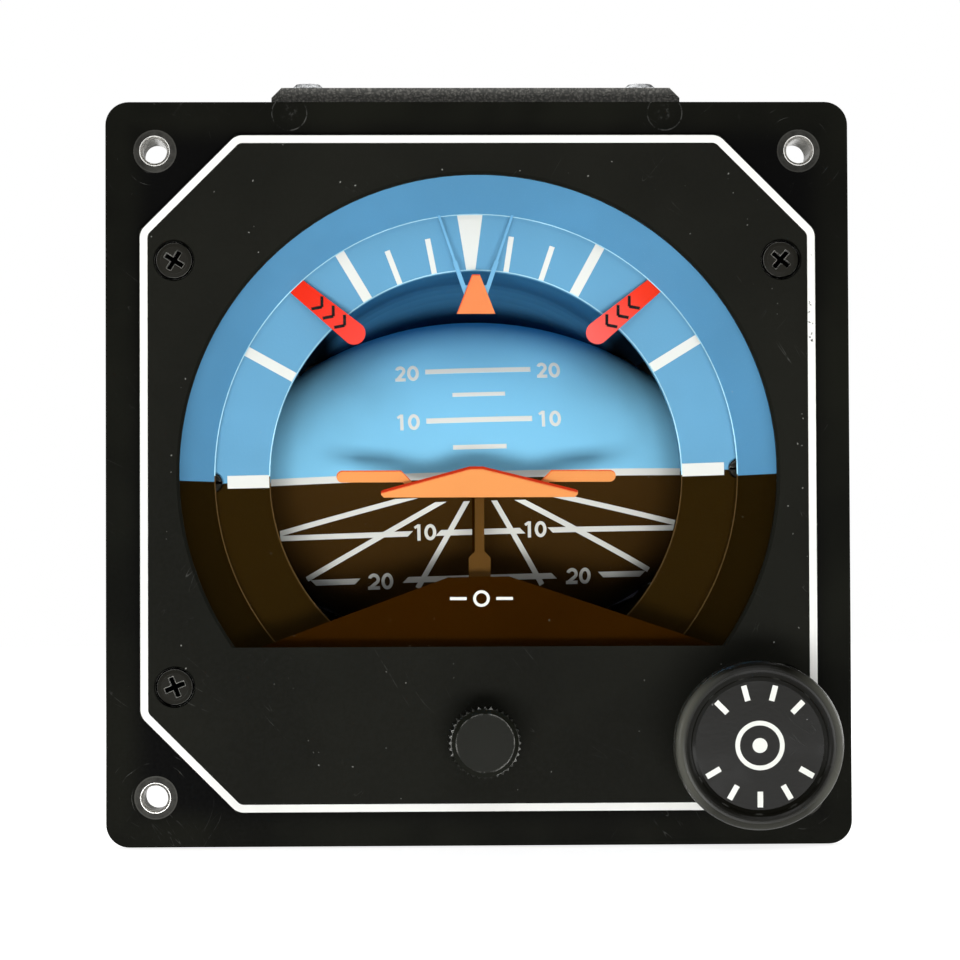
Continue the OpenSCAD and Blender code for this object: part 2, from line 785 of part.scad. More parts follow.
module case_screws() {
    color(steel_grey) {
        for (sx = [-1, 1], sz = [-1, 1])
            translate([sx * case_half, flange_t + lug_len / 2, sz * lug_z]) rotate([0, sx * 90, 0])
                case_screw(case_wall + lug_t - 0.4);
        cover_screws() translate([0, 0, cover_h]) case_screw(cover_h + case_wall);
        four_ways(rear_screw_x, rear_screw_z) translate([0, case_back_y + rear_t, 0]) rotate([-90, 0, 0])
            case_screw(rear_t + rear_boss_len - 1);
    }
}

// Raised cover on top of the case, open underneath, with cut corners
module top_cover() {
    color(body_black) difference() {
        translate([0, cover_y + cover_len, case_half]) rotate([90, 0, 0]) linear_extrude(cover_len)
            polygon([[-cover_x, 0], [cover_x, 0], [cover_x, cover_h - 1.4], [cover_x - 1.4, cover_h],
                [1.4 - cover_x, cover_h], [-cover_x, cover_h - 1.4]]);
        translate([cover_wall - cover_x, cover_y + cover_wall, case_half - over])
            cube([cover_w - 2 * cover_wall, cover_len - 2 * cover_wall, cover_h - cover_wall + over]);
        cover_screws() cylinder(h = cover_h + 1, r = case_screw_r + 0.2);
    }
}

module circuit_board() {
    board_x = cover_x - 8;
    y0 = cover_y + 6;
    y1 = cover_y + cover_len - 6;
    color("#2f5d3a") {
        translate([-board_x, y0, case_half + 1]) cube([2 * board_x, y1 - y0, 1]);
        for (sx = [-1, 1], y = [y0 + 5, y1 - 5])
            translate([sx * (board_x - 4), y, case_half]) cylinder(h = 1 + over, r = 1.5);
    }
}

module rear_plate() {
    boss_y = case_back_y - rear_boss_len;
    color(body_black) difference() {
        union() {
            slab(case_back_y, case_back_y + rear_t) case_outline(0);
            four_ways(rear_screw_x, rear_screw_z) bar_y_axis(boss_y, case_back_y + over, 2.4);
        }
        four_ways(rear_screw_x, rear_screw_z)
            bar_y_axis(boss_y - over, case_back_y + rear_t + over, case_screw_r + 0.02);
        bar_y_axis(case_back_y - over, case_back_y + rear_t + over, connector_r - 1.5);
    }
}

// Copies children to the places of the connector's pins, in two rings
module pin_places() {
    for (r = [3.2, 7], i = [0 : r * 2 - 1]) rotate([0, i * 180 / r, 0]) at_face(r, 0) children();
}

// Round connector with a key ridge in its shell and a square flange with four screws
module rear_connector() {
    y0 = case_back_y + rear_t;
    y1 = y0 + connector_len;
    screw_a = connector_r + 1.4;
    color(steel_grey) difference() {
        union() {
            slab(y0, y0 + 2) rounded_square(2 * connector_r + 8, 2);
            bar_y_axis(y0 + 2 - over, y1, connector_r);
            bar_y_axis(case_back_y - 6, y0 + over, connector_r - 1.5 - run_gap);
        }
        difference() {
            bar_y_axis(y0 + 3, y1 + over, connector_r - 1.2);
            translate([-1, y0 + 3 - over, connector_r - 2]) cube([2, connector_len - 5, 2]);
        }
        pin_places() bar_y_axis(case_back_y - 7, y0 + 4, pin_r + 0.01);
    }
    color(steel_grey) four_ways(screw_a, screw_a) difference() {
        bar_y_axis(y0 + 2 - over, y0 + 2.8, 1.4);
        translate([-0.25, y0 + 2.4, -1.5]) cube([0.5, 1, 3]);
    }
}

module connector_pins() {
    y1 = case_back_y + rear_t + connector_len;
    color(brass_gold) pin_places() bar_y_axis(case_back_y - 8, y1 - 3, pin_r);
}

// Small lever switch that the collar on the erecting rod reaches when the knob is pulled
module erect_switch() {
    lever_t = 0.5;
    tip_y = collar_y - erect_pull - 0.3;
    body_y = tip_y - 2;
    body_x = erect_x - spring_r - spring_wire - slide_gap - switch_w;
    body_z = erect_z - 8.4;
    lever_z = body_z + 5;
    lever_end_x = erect_x - spring_r - spring_wire - 0.5;
    color("#3b3b40") {
        translate([body_x, body_y - switch_len, body_z]) cube([switch_w, switch_len, 8]);
        translate([body_x + 0.5, flange_t, body_z + 3]) cube([2.4, body_y - switch_len - flange_t, 2.4]);
    }
    color(steel_grey) {
        translate([body_x + 2, tip_y - lever_t, lever_z]) cube([lever_end_x - body_x - 2, lever_t, 2.2]);
        translate([body_x + 4, 0, lever_z + 1.1]) bar_y_axis(body_y - over, tip_y - lever_t + over, 0.6);
    }
}

// Curved shade that closes the view between the roll ring and the top of the drum
module ring_shade() {
    centre_r = shade_out_r - shade_curve_r;
    centre_y = shade_back_y - shade_curve_r;
    end_r = centre_r - 6;
    side_x = 2 * ring_r * tan(shade_half_angle);
    inner_r = shade_curve_r - shade_t;
    outer = [for (a = [0 : 10 : 90]) [centre_r + shade_curve_r * cos(a), centre_y + shade_curve_r * sin(a)]];
    inner = [for (a = [90 : -10 : 0]) [centre_r + inner_r * cos(a), centre_y + inner_r * sin(a)]];
    difference() {
        intersection() {
            turned(concat([[shade_out_r, ring_back_y - 0.6]], outer,
                [[end_r, shade_back_y], [end_r, shade_back_y - shade_t]], inner,
                [[shade_out_r - shade_t, ring_back_y - 0.6]]), $fn = 128);
            slab(0, shade_back_y + 1)
                polygon([[0, 0], [side_x, 2 * ring_r], [-side_x, 2 * ring_r]]);
        }
        translate([0, drum_y, 0]) rotate([0, 90, 0]) rotate_extrude($fn = 128)
            barrel_half(drum_r + shade_gap, drum_curve_r + shade_gap, drum_half + 2);
    }
}

module roll_ring() {
    head_y = ring_y + 0.3 + ring_head_t;
    color(sky_blue) banked() difference() {
        union() {
            turned([[ring_in_r, ring_y + ring_cone], [surround_in_r + 0.4, ring_y], [ring_r, ring_y],
                [ring_r, ring_back_y], [ring_in_r, ring_back_y]], $fn = 128);
            for (a = [0, 180]) rotate([0, a, 0]) ring_shade();
        }
        for (sx = [-1, 1]) at_face(sx * ring_screw_x, 0) {
            bar_y_axis(ring_y - over, head_y, ring_head_r + loose_gap);
            bar_y_axis(ring_y, ring_back_y + over, ring_screw_r + run_gap);
        }
    }
}

module ring_screws() {
    head_y = ring_y + 0.3;
    seat_y = head_y + ring_head_t;
    color(body_black) banked() for (sx = [-1, 1]) at_face(sx * ring_screw_x, 0) difference() {
        turned([[0, head_y], [ring_head_r - 0.2, head_y], [ring_head_r, head_y + 0.2], [ring_head_r, seat_y],
            [ring_screw_r, seat_y], [ring_screw_r, ring_back_y + 2], [0, ring_back_y + 2]]);
        translate([-ring_head_r - 1, head_y - over, -0.2]) cube([2 * ring_head_r + 2, 0.35 + over, 0.4]);
    }
}

// Front ring, two side plates with lightening holes, and a round back plate with a hub
module roll_yoke() {
    ring_end_y = ring_back_y + yoke_ring_t;
    plate_len = yoke_back_y - ring_end_y + 2 * over;
    yoke_in_r = ring_in_r + yoke_lap;
    color(alloy_grey) banked() difference() {
        union() {
            turned([[yoke_in_r, ring_back_y], [yoke_ring_r, ring_back_y],
                [yoke_ring_r, ring_end_y], [yoke_in_r, ring_end_y]]);
            for (x = [-yoke_out_x, yoke_x]) translate([x, ring_end_y - over, -yoke_plate_half])
                cube([yoke_plate_t, plate_len, 2 * yoke_plate_half]);
            bar_y_axis(yoke_back_y, yoke_back_y + yoke_back_t, yoke_out_x);
            bar_y_axis(yoke_back_y + yoke_back_t - over, bulkhead_y - 1.5, yoke_hub_r);
        }
        for (sx = [-1, 1]) at_face(sx * ring_screw_x, 0)
            bar_y_axis(ring_back_y - over, ring_back_y + 2.2, ring_screw_r);
        translate([0, drum_y, 0]) bar_x_axis(-2 * yoke_x, 2 * yoke_x, drum_shaft_r + run_gap);
        translate([0, gyro_y, 0]) bar_x_axis(-2 * yoke_x, 2 * yoke_x, trunnion_r + run_gap);
        for (y = [front_idler_y, rear_idler_y]) translate([0, y, 0])
            bar_x_axis(yoke_x - over, yoke_out_x + over, idler_pin_r);
        translate([0, (drum_y + gyro_y) / 2, 0]) bar_x_axis(-2 * yoke_x, -yoke_x / 2, yoke_plate_half - 6);
        bar_y_axis(yoke_back_y + 1, bulkhead_y, roll_shaft_r);
    }
}

module idler_pins() {
    color(steel_grey) banked() for (y = [front_idler_y, rear_idler_y])
        translate([0, y, 0]) bar_x_axis(gear_x - 0.3, yoke_out_x, idler_pin_r);
}

module roll_shaft() {
    color(steel_grey) banked() bar_y_axis(yoke_back_y + 1, shaft_end_y, roll_shaft_r);
}

module slip_rings() {
    color(brass_gold) banked() difference() {
        bar_y_axis(slip_y, slip_y + slip_len, slip_r);
        bar_y_axis(slip_y - over, slip_y + slip_len + over, roll_shaft_r);
        for (i = [0 : brushes - 1]) difference() {
            bar_y_axis(slip_y + 0.9 + i * brush_pitch, slip_y + 2 + i * brush_pitch, slip_r + 1);
            bar_y_axis(slip_y, slip_y + slip_len, slip_r - 0.5);
        }
    }
}

// Barrel outline in the plane of radius and length
module barrel_half(r, curve_r, half) {
    intersection() {
        translate([r - curve_r, 0]) circle(curve_r, $fn = 128);
        translate([0, -half]) square([r + 1, 2 * half]);
    }
}

module horizon_drum() {
    color(sky_blue) banked() translate([0, drum_y, 0]) rotate([rest_pitch, 0, 0]) difference() {
        rotate([0, 90, 0]) rotate_extrude($fn = 128) difference() {
            barrel_half(drum_r, drum_curve_r, drum_half);
            barrel_half(drum_r - drum_wall, drum_curve_r - drum_wall, drum_half - drum_wall);
        }
        bar_x_axis(-drum_half - 1, drum_half + 1, drum_shaft_r);
    }
}

module drum_shaft() {
    color(steel_grey) banked() translate([0, drum_y, 0]) bar_x_axis(-yoke_out_x, yoke_out_x, drum_shaft_r);
}

// Gear in the plane of the pitch train, with a tooth or a space on the side of +Y
module train_gear(r, teeth, bore, space_first) {
    turn = 90 + (space_first ? 180 / teeth : 0);
    translate([gear_x, 0, 0]) rotate([0, 90, 0]) linear_extrude(gear_t) difference() {
        rotate(turn) gear_outline(r, gear_module, teeth, teeth);
        circle(bore);
    }
}

module drum_gear() {
    color(brass_gold) banked() translate([0, drum_y, 0]) difference() {
        union() {
            train_gear(drum_gear_r, drum_teeth, drum_shaft_r, true);
            bar_x_axis(drum_half, gear_x + over, 4);
        }
        bar_x_axis(drum_half - 1, gear_x + 1, drum_shaft_r);
    }
}

module front_idler() {
    color(brass_gold) banked() translate([0, front_idler_y, 0])
        train_gear(idler_r, idler_teeth, idler_pin_r + run_gap, false);
}

module rear_idler() {
    color(brass_gold) banked() translate([0, rear_idler_y, 0])
        train_gear(idler_r, idler_teeth, idler_pin_r + run_gap, true);
}

module pitch_gear() {
    color(brass_gold) banked() translate([gear_x, gyro_y, 0]) difference() {
        rotate([0, 90, 0]) linear_extrude(gear_t) {
            intersection() {
                circle(sector_r - 1.02 * gear_module);
                translate([-4 * sector_r, -4 * sector_r]) square([4 * sector_r, 4.6 * sector_r]);
                rotate(-45) translate([-4 * sector_r, -4 * sector_r]) square([8 * sector_r, 4 * sector_r]);
            }
            circle(sector_r / 2);
            rotate(-90) gear_outline(sector_r, gear_module, sector_teeth, 9);
        }
        bar_x_axis(-1, gear_t + 1, trunnion_r);
    }
}

// Half section of the gyro housing, or of its hollow when it is inset by the wall
module gyro_section(inset) {
    edge = gyro_edge + inset / 2;
    h = gyro_half - inset;
    r = gyro_r - inset;
    polygon([[0, -h], [gyro_r - edge, -h], [r, edge - gyro_half], [r, gyro_half - edge],
        [gyro_r - edge, h], [0, h]]);
}

module gyro_housing() {
    color(alloy_grey) banked() translate([0, gyro_y, 0]) difference() {
        union() {
            rotate_extrude() gyro_section(0);
            rotate_extrude() translate([gyro_r - 1, -1]) square([2, 2]);
            bar_x_axis(-boss_x, boss_x, boss_r);
        }
        rotate_extrude() gyro_section(gyro_wall);
        for (sx = [-1, 1]) translate([sx * (boss_x - 2), 0, 0]) bar_x_axis(-2 - over, 2 + over, trunnion_r);
        translate([0, 0, -gyro_half - 1]) cylinder(h = 2 * gyro_half + 2, r = rotor_shaft_r + run_gap);
    }
}

module pitch_trunnions() {
    color(steel_grey) banked() translate([0, gyro_y, 0]) for (sx = [-1, 1])
        bar_x_axis(sx > 0 ? boss_x - 4 : -yoke_out_x, sx > 0 ? yoke_out_x : 4 - boss_x, trunnion_r);
}

module gyro_rotor() {
    rim_r = rotor_r - 7;
    hub = rotor_shaft_r + 3;
    h = rotor_half;
    color(brass_gold) banked() translate([0, gyro_y, 0]) rotate_extrude()
        polygon([[rotor_shaft_r, -h], [hub, -h], [hub, -4], [rim_r, -3], [rim_r, -h], [rotor_r, -h],
            [rotor_r, h], [rim_r, h], [rim_r, 3], [hub, 4], [hub, h], [rotor_shaft_r, h]]);
}

module rotor_shaft() {
    color(steel_grey) banked() translate([0, gyro_y, -gyro_half])
        cylinder(h = 2 * gyro_half, r = rotor_shaft_r);
}

// Cutter for a chamfer along the front edge between two points, on the left side of their line
module chamfer_cut(x0, z0, x1, z1, y, c) {
    len = norm([x1 - x0, z1 - z0]);
    translate([x0, y, z0]) rotate([0, -atan2(z1 - z0, x1 - x0), 0])
        translate([-1, 0, -c]) rotate([45, 0, 0]) cube([len + 2, 2, 2]);
}

// Broad arrowhead, chamfered along its upper edges
module airplane_symbol() {
    cut = 0.4;
    tip_z = symbol_base_z + 1.1;
    end_x = symbol_half - cut;
    left_x = symbol_lean - 0.9;
    right_x = symbol_lean + 0.9;
    color(signal_orange) at_face(symbol_x, 0) difference() {
        slab(symbol_y, symbol_y + symbol_t)
            polygon([[-end_x, symbol_base_z], [end_x, symbol_base_z], [symbol_half, symbol_base_z + cut],
                [symbol_half, tip_z - cut / 2], [end_x, tip_z], [right_x, symbol_top_z],
                [left_x, symbol_top_z], [-end_x, tip_z], [-symbol_half, tip_z - cut / 2],
                [-symbol_half, symbol_base_z + cut]]);
        chamfer_cut(-end_x, tip_z, left_x, symbol_top_z, symbol_y, symbol_chamfer);
        chamfer_cut(left_x, symbol_top_z, right_x, symbol_top_z, symbol_y, symbol_chamfer);
        chamfer_cut(right_x, symbol_top_z, end_x, tip_z, symbol_y, symbol_chamfer);
    }
}

module airplane_post() {
    neck = 0.65;
    foot = 1.52;
    neck_low_z = symbol_base_z - 7.5;
    foot_top_z = neck_low_z - 0.9;
    color(earth_brown) at_face(symbol_x, 0) slab(post_y, post_y + post_t)
        polygon([[-neck, symbol_top_z - 1], [neck, symbol_top_z - 1], [neck, neck_low_z], [foot, foot_top_z],
            [foot, arm_low_z], [-foot, arm_low_z], [-foot, foot_top_z], [-neck, neck_low_z]]);
}

// Sliding plate that carries the post, with a rack beside the adjusting pinion
module airplane_carriage() {
    y0 = airplane_slide_y;
    y1 = airplane_slide_y + airplane_slide_t;
    rack_x = airplane_rack_x + rack_module;
    color(alloy_grey) {
        translate([symbol_x - 1.9, y0, arm_low_z])
            cube([airplane_rail_x - symbol_x + 1.9, y1 - y0, arm_t]);
        translate([rack_x, y0, stem_low_z])
            cube([airplane_rail_x - rack_x, y1 - y0, arm_low_z + 1 - stem_low_z]);
        for (i = [-2.5 : 2.5]) at_face(airplane_rack_x, adjust_z + i * rack_pitch)
            slab(y0, y1) rack_tooth(rack_module);
    }
}

// Knurled outline with straight-sided ridges
module knurl_outline(r, count, deep) {
    polygon([for (i = [0 : 2 * count - 1]) let (a = i * 180 / count, q = r - (i % 2) * deep)
        [q * cos(a), q * sin(a)]]);
}

module adjust_knob() {
    front_y = adjust_rear_y - adjust_len;
    root_r = adjust_r - knurl_deep;
    color(body_black) at_face(adjust_x, adjust_z) difference() {
        union() {
            slab(front_y + 0.9, adjust_rear_y - 1.5) knurl_outline(adjust_r, knurls, knurl_deep);
            turned([[0, front_y], [root_r - 0.5, front_y], [root_r + 0.15, front_y + 0.7],
                [root_r - 0.1, front_y + 1.4], [0, front_y + 1.4]]);
            bar_y_axis(adjust_rear_y - 1.6, adjust_rear_y, adjust_r - 1.2);
        }
        bar_y_axis(adjust_rear_y - shaft_grip, adjust_rear_y + over, adjust_shaft_r);
    }
}

module adjust_shaft() {
    color(steel_grey) at_face(adjust_x, adjust_z)
        bar_y_axis(adjust_rear_y - shaft_grip, airplane_slide_y + airplane_slide_t, adjust_shaft_r);
}

module adjust_pinion() {
    y0 = airplane_slide_y;
    color(brass_gold) at_face(adjust_x, adjust_z) slab(y0, y0 + airplane_slide_t)
        difference() {
            gear_outline(pinion_r, rack_module, pinion_teeth, pinion_teeth);
            circle(adjust_shaft_r);
        }
}

module erect_knob() {
    rear_y = erect_front_y + erect_head_t;
    face_y = erect_front_y + recess_deep;
    q = rim_w / 2;
    // Half round rim, from the recessed face to the outer side
    rim = [for (a = [150 : -15 : 0]) [erect_r - q + q * cos(a), erect_front_y + q - q * sin(a)]];
    color(body_black) at_face(erect_x, erect_z) difference() {
        turned(concat([[0, face_y], [erect_r - rim_w - 0.3, face_y]], rim,
            [[erect_r, erect_front_y + 4.6], [erect_r - 0.6, erect_front_y + 5.8],
            [erect_r - 3, rear_y - 1.6], [erect_stem_r + 0.6, rear_y], [erect_stem_r, rear_y + 0.6],
            [erect_stem_r, erect_rear_y], [0, erect_rear_y]]), $fn = 96);
        bar_y_axis(erect_rear_y - rod_grip, erect_rear_y + over, erect_rod_r);
    }
}

module erect_rod() {
    color(steel_grey) at_face(erect_x, erect_z) {
        bar_y_axis(erect_rear_y - rod_grip, rod_end_y, erect_rod_r);
        difference() {
            bar_y_axis(collar_y, collar_y + collar_t, collar_r);
            bar_y_axis(collar_y - 1, collar_y + collar_t + 1, erect_rod_r - over);
        }
    }
}

// Points of a ring of the spring wire at turn angle a
function wire_ring(a, y0, y1, sides) = [for (k = [0 : sides - 1])
    let (t = k * 360 / sides, q = spring_r + spring_wire * cos(t),
        y = y0 + (y1 - y0) * a / (spring_turns * 360))
    [q * cos(a), y + spring_wire * sin(t), q * sin(a)]];

module erect_spring() {
    sides = 6;
    rings_a_turn = 16;
    rings = spring_turns * rings_a_turn;
    y0 = flange_t + spring_wire;
    y1 = collar_y - spring_wire;
    points = [for (i = [0 : rings]) each wire_ring(i * 360 / rings_a_turn, y0, y1, sides)];
    side_faces = [for (i = [0 : rings - 1], k = [0 : sides - 1])
        let (a = i * sides + k, b = i * sides + (k + 1) % sides)
        each [[a, b, b + sides], [a, b + sides, a + sides]]];
    first_cap = [for (k = [1 : sides - 2]) [0, k + 1, k]];
    last_cap = [for (k = [1 : sides - 2]) [rings * sides, rings * sides + k, rings * sides + k + 1]];
    color(steel_grey) at_face(erect_x, erect_z) polyhedron(points, concat(side_faces, first_cap, last_cap));
}

// Warning flag on its staff, drawn for the left side of the dial
module warning_flag() {
    reach = flag_len - flag_w / 2;
    color(flag_red) at_face(-flag_px, flag_pz) {
        rotate([0, flag_angle - flag_turn, 0]) slab(flag_y, flag_y + flag_t) {
            polygon([[0, flag_root_w / 2], [0, -flag_root_w / 2], [reach, -flag_w / 2], [reach, flag_w / 2]]);
            translate([reach, 0]) circle(flag_w / 2);
            circle(2);
        }
        bar_y_axis(flag_y + flag_t - over, bracket_y + bracket_t + staff_grip, staff_r);
    }
}

module gyro_flag() {
    warning_flag();
}

module command_flag() {
    mirror([1, 0, 0]) warning_flag();
}

// Sliding frame behind the mask, with the rack and the stalk of the command bars
module command_carriage() {
    y0 = command_slide_y;
    t = command_slide_t;
    rack_x = command_rack_x + rack_module;
    color(earth_brown) {
        translate([rack_x, y0, cross_low_z]) cube([airplane_rail_x - rack_x, t, cross_top_z - cross_low_z]);
        translate([rack_x, y0, leg_low_z]) cube([command_rail_x - rack_x, t, cross_top_z - leg_low_z]);
        translate([airplane_rail_x - 2, y0, leg_low_z]) cube([2, t, cross_top_z - leg_low_z]);
        for (i = [-2.5 : 2.5]) at_face(command_rack_x, command_motor_z + i * rack_pitch)
            slab(y0, y0 + t) rack_tooth(rack_module);
        translate([bar_x - stalk_half, y0, cross_low_z]) cube([2 * stalk_half, t, pivot_z - cross_low_z]);
        at_face(bar_x, pivot_z) {
            bar_y_axis(y0, y0 + t, 1.1);
            bar_y_axis(bar_y, y0 + over, pivot_r);
        }
    }
}

// Two orange bars joined behind the airplane symbol
module command_bars() {
    slope_x = bar_half - 9;
    mid_z = pivot_z + 1;
    low = mid_z - bar_h / 2;
    high = mid_z + bar_h / 2;
    link_low = pivot_z - 1.6;
    link_high = pivot_z - 0.5;
    link_x = slope_x - 2;
    end_x = bar_half - bar_h / 2;
    color(signal_orange) at_face(bar_x, 0) difference() {
        union() {
            for (sx = [-1, 1]) {
                slab(bar_y, bar_y + bar_t)
                    polygon([[sx * end_x, low], [sx * end_x, high], [sx * slope_x, high],
                        [sx * (slope_x - high + link_high), link_high], [sx * 4, link_high],
                        [sx * 4, link_low], [sx * link_x, link_low],
                        [sx * (link_x + low - link_low), low]]);
                at_face(sx * end_x, mid_z) bar_y_axis(bar_y, bar_y + bar_t, bar_h / 2);
            }
            translate([-5, bar_y, link_low]) cube([10, bar_t, link_high - link_low]);
            at_face(0, pivot_z) bar_y_axis(bar_y, bar_y + bar_t, 1.5);
        }
        at_face(0, pivot_z) bar_y_axis(bar_y - 1, bar_y + bar_t + 1, pivot_r + run_gap);
    }
}

module command_pinion() {
    y0 = command_slide_y;
    color(brass_gold) at_face(command_motor_x, command_motor_z) {
        slab(y0, y0 + command_slide_t) gear_outline(pinion_r, rack_module, pinion_teeth, pinion_teeth);
        bar_y_axis(y0 + command_slide_t - over, bracket_y + bracket_t + staff_grip, staff_r);
    }
}

bezel_flange();
mounting_inserts();
face_plate();
face_screws();
window_gasket();
window_glass();
dial_surround();
surround_screws();
lower_mask();
bank_index_bracket();
bank_index();
corner_brackets();
flag_motors();
command_motor();
slide_guides();
adjust_bushing();
erect_bushing();
frame_posts();
bearing_bulkhead();
roll_bearings();
brush_block();
case_shell();
case_screws();
top_cover();
circuit_board();
rear_plate();
rear_connector();
connector_pins();
erect_switch();
roll_ring();
ring_screws();
roll_yoke();
idler_pins();
roll_shaft();
slip_rings();
horizon_drum();
drum_shaft();
drum_gear();
front_idler();
rear_idler();
gyro_housing();
pitch_trunnions();
pitch_gear();
gyro_rotor();
rotor_shaft();
airplane_symbol();
airplane_post();
airplane_carriage();
adjust_knob();
adjust_shaft();
adjust_pinion();
erect_knob();
erect_rod();
erect_spring();
gyro_flag();
command_flag();
command_carriage();
command_bars();
command_pinion();
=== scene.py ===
"""Flight director indicator: finishes, painted markings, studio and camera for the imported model."""

import logging
import math
from collections.abc import Callable, Iterator
from contextlib import contextmanager
from dataclasses import dataclass
from enum import Enum

import bpy
from bpy.types import Material, Node, NodeOutputs, NodeSocket, NodeTree, Object
from mathutils import Matrix, Quaternion, Vector


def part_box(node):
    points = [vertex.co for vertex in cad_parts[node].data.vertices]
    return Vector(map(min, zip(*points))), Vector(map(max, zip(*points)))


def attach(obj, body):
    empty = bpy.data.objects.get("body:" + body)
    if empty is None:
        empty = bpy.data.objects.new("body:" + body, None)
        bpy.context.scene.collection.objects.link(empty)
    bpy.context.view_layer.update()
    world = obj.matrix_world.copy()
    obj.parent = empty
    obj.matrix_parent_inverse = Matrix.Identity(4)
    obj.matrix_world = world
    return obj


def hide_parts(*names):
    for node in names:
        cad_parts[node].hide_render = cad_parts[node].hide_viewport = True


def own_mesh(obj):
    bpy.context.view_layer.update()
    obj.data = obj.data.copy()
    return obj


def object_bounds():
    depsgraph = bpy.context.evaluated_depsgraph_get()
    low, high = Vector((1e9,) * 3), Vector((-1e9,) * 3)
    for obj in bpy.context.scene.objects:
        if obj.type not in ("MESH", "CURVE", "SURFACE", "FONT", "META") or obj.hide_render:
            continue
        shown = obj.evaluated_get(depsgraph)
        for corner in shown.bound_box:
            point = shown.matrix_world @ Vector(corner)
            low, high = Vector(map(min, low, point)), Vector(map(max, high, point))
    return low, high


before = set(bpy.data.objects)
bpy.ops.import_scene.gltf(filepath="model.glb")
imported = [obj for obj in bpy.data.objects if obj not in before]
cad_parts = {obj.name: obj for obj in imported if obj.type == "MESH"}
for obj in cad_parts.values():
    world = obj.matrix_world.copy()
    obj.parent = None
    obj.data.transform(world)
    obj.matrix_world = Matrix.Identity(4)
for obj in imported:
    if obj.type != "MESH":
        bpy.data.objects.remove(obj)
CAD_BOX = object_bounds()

LOG = logging.getLogger("indicator")
MM = 0.001
FILM = 0.03 * MM
# Width of the painted highlights along the rings' inner edges.
EDGE_HIGHLIGHT_W = 0.15 * MM
FACING = math.radians(90)
BANK = 1.4

Colour = tuple[float, float, float, float]
Place = tuple[float, float]
Value = NodeSocket | float
Tint = NodeSocket | Colour

DUST: Colour = (0.6, 0.6, 0.55, 1.0)
STEEL: Colour = (0.55, 0.56, 0.57, 1.0)


def grey(level: float) -> Colour:
    """Returns an opaque grey of a linear level."""
    return (level, level, level, 1.0)


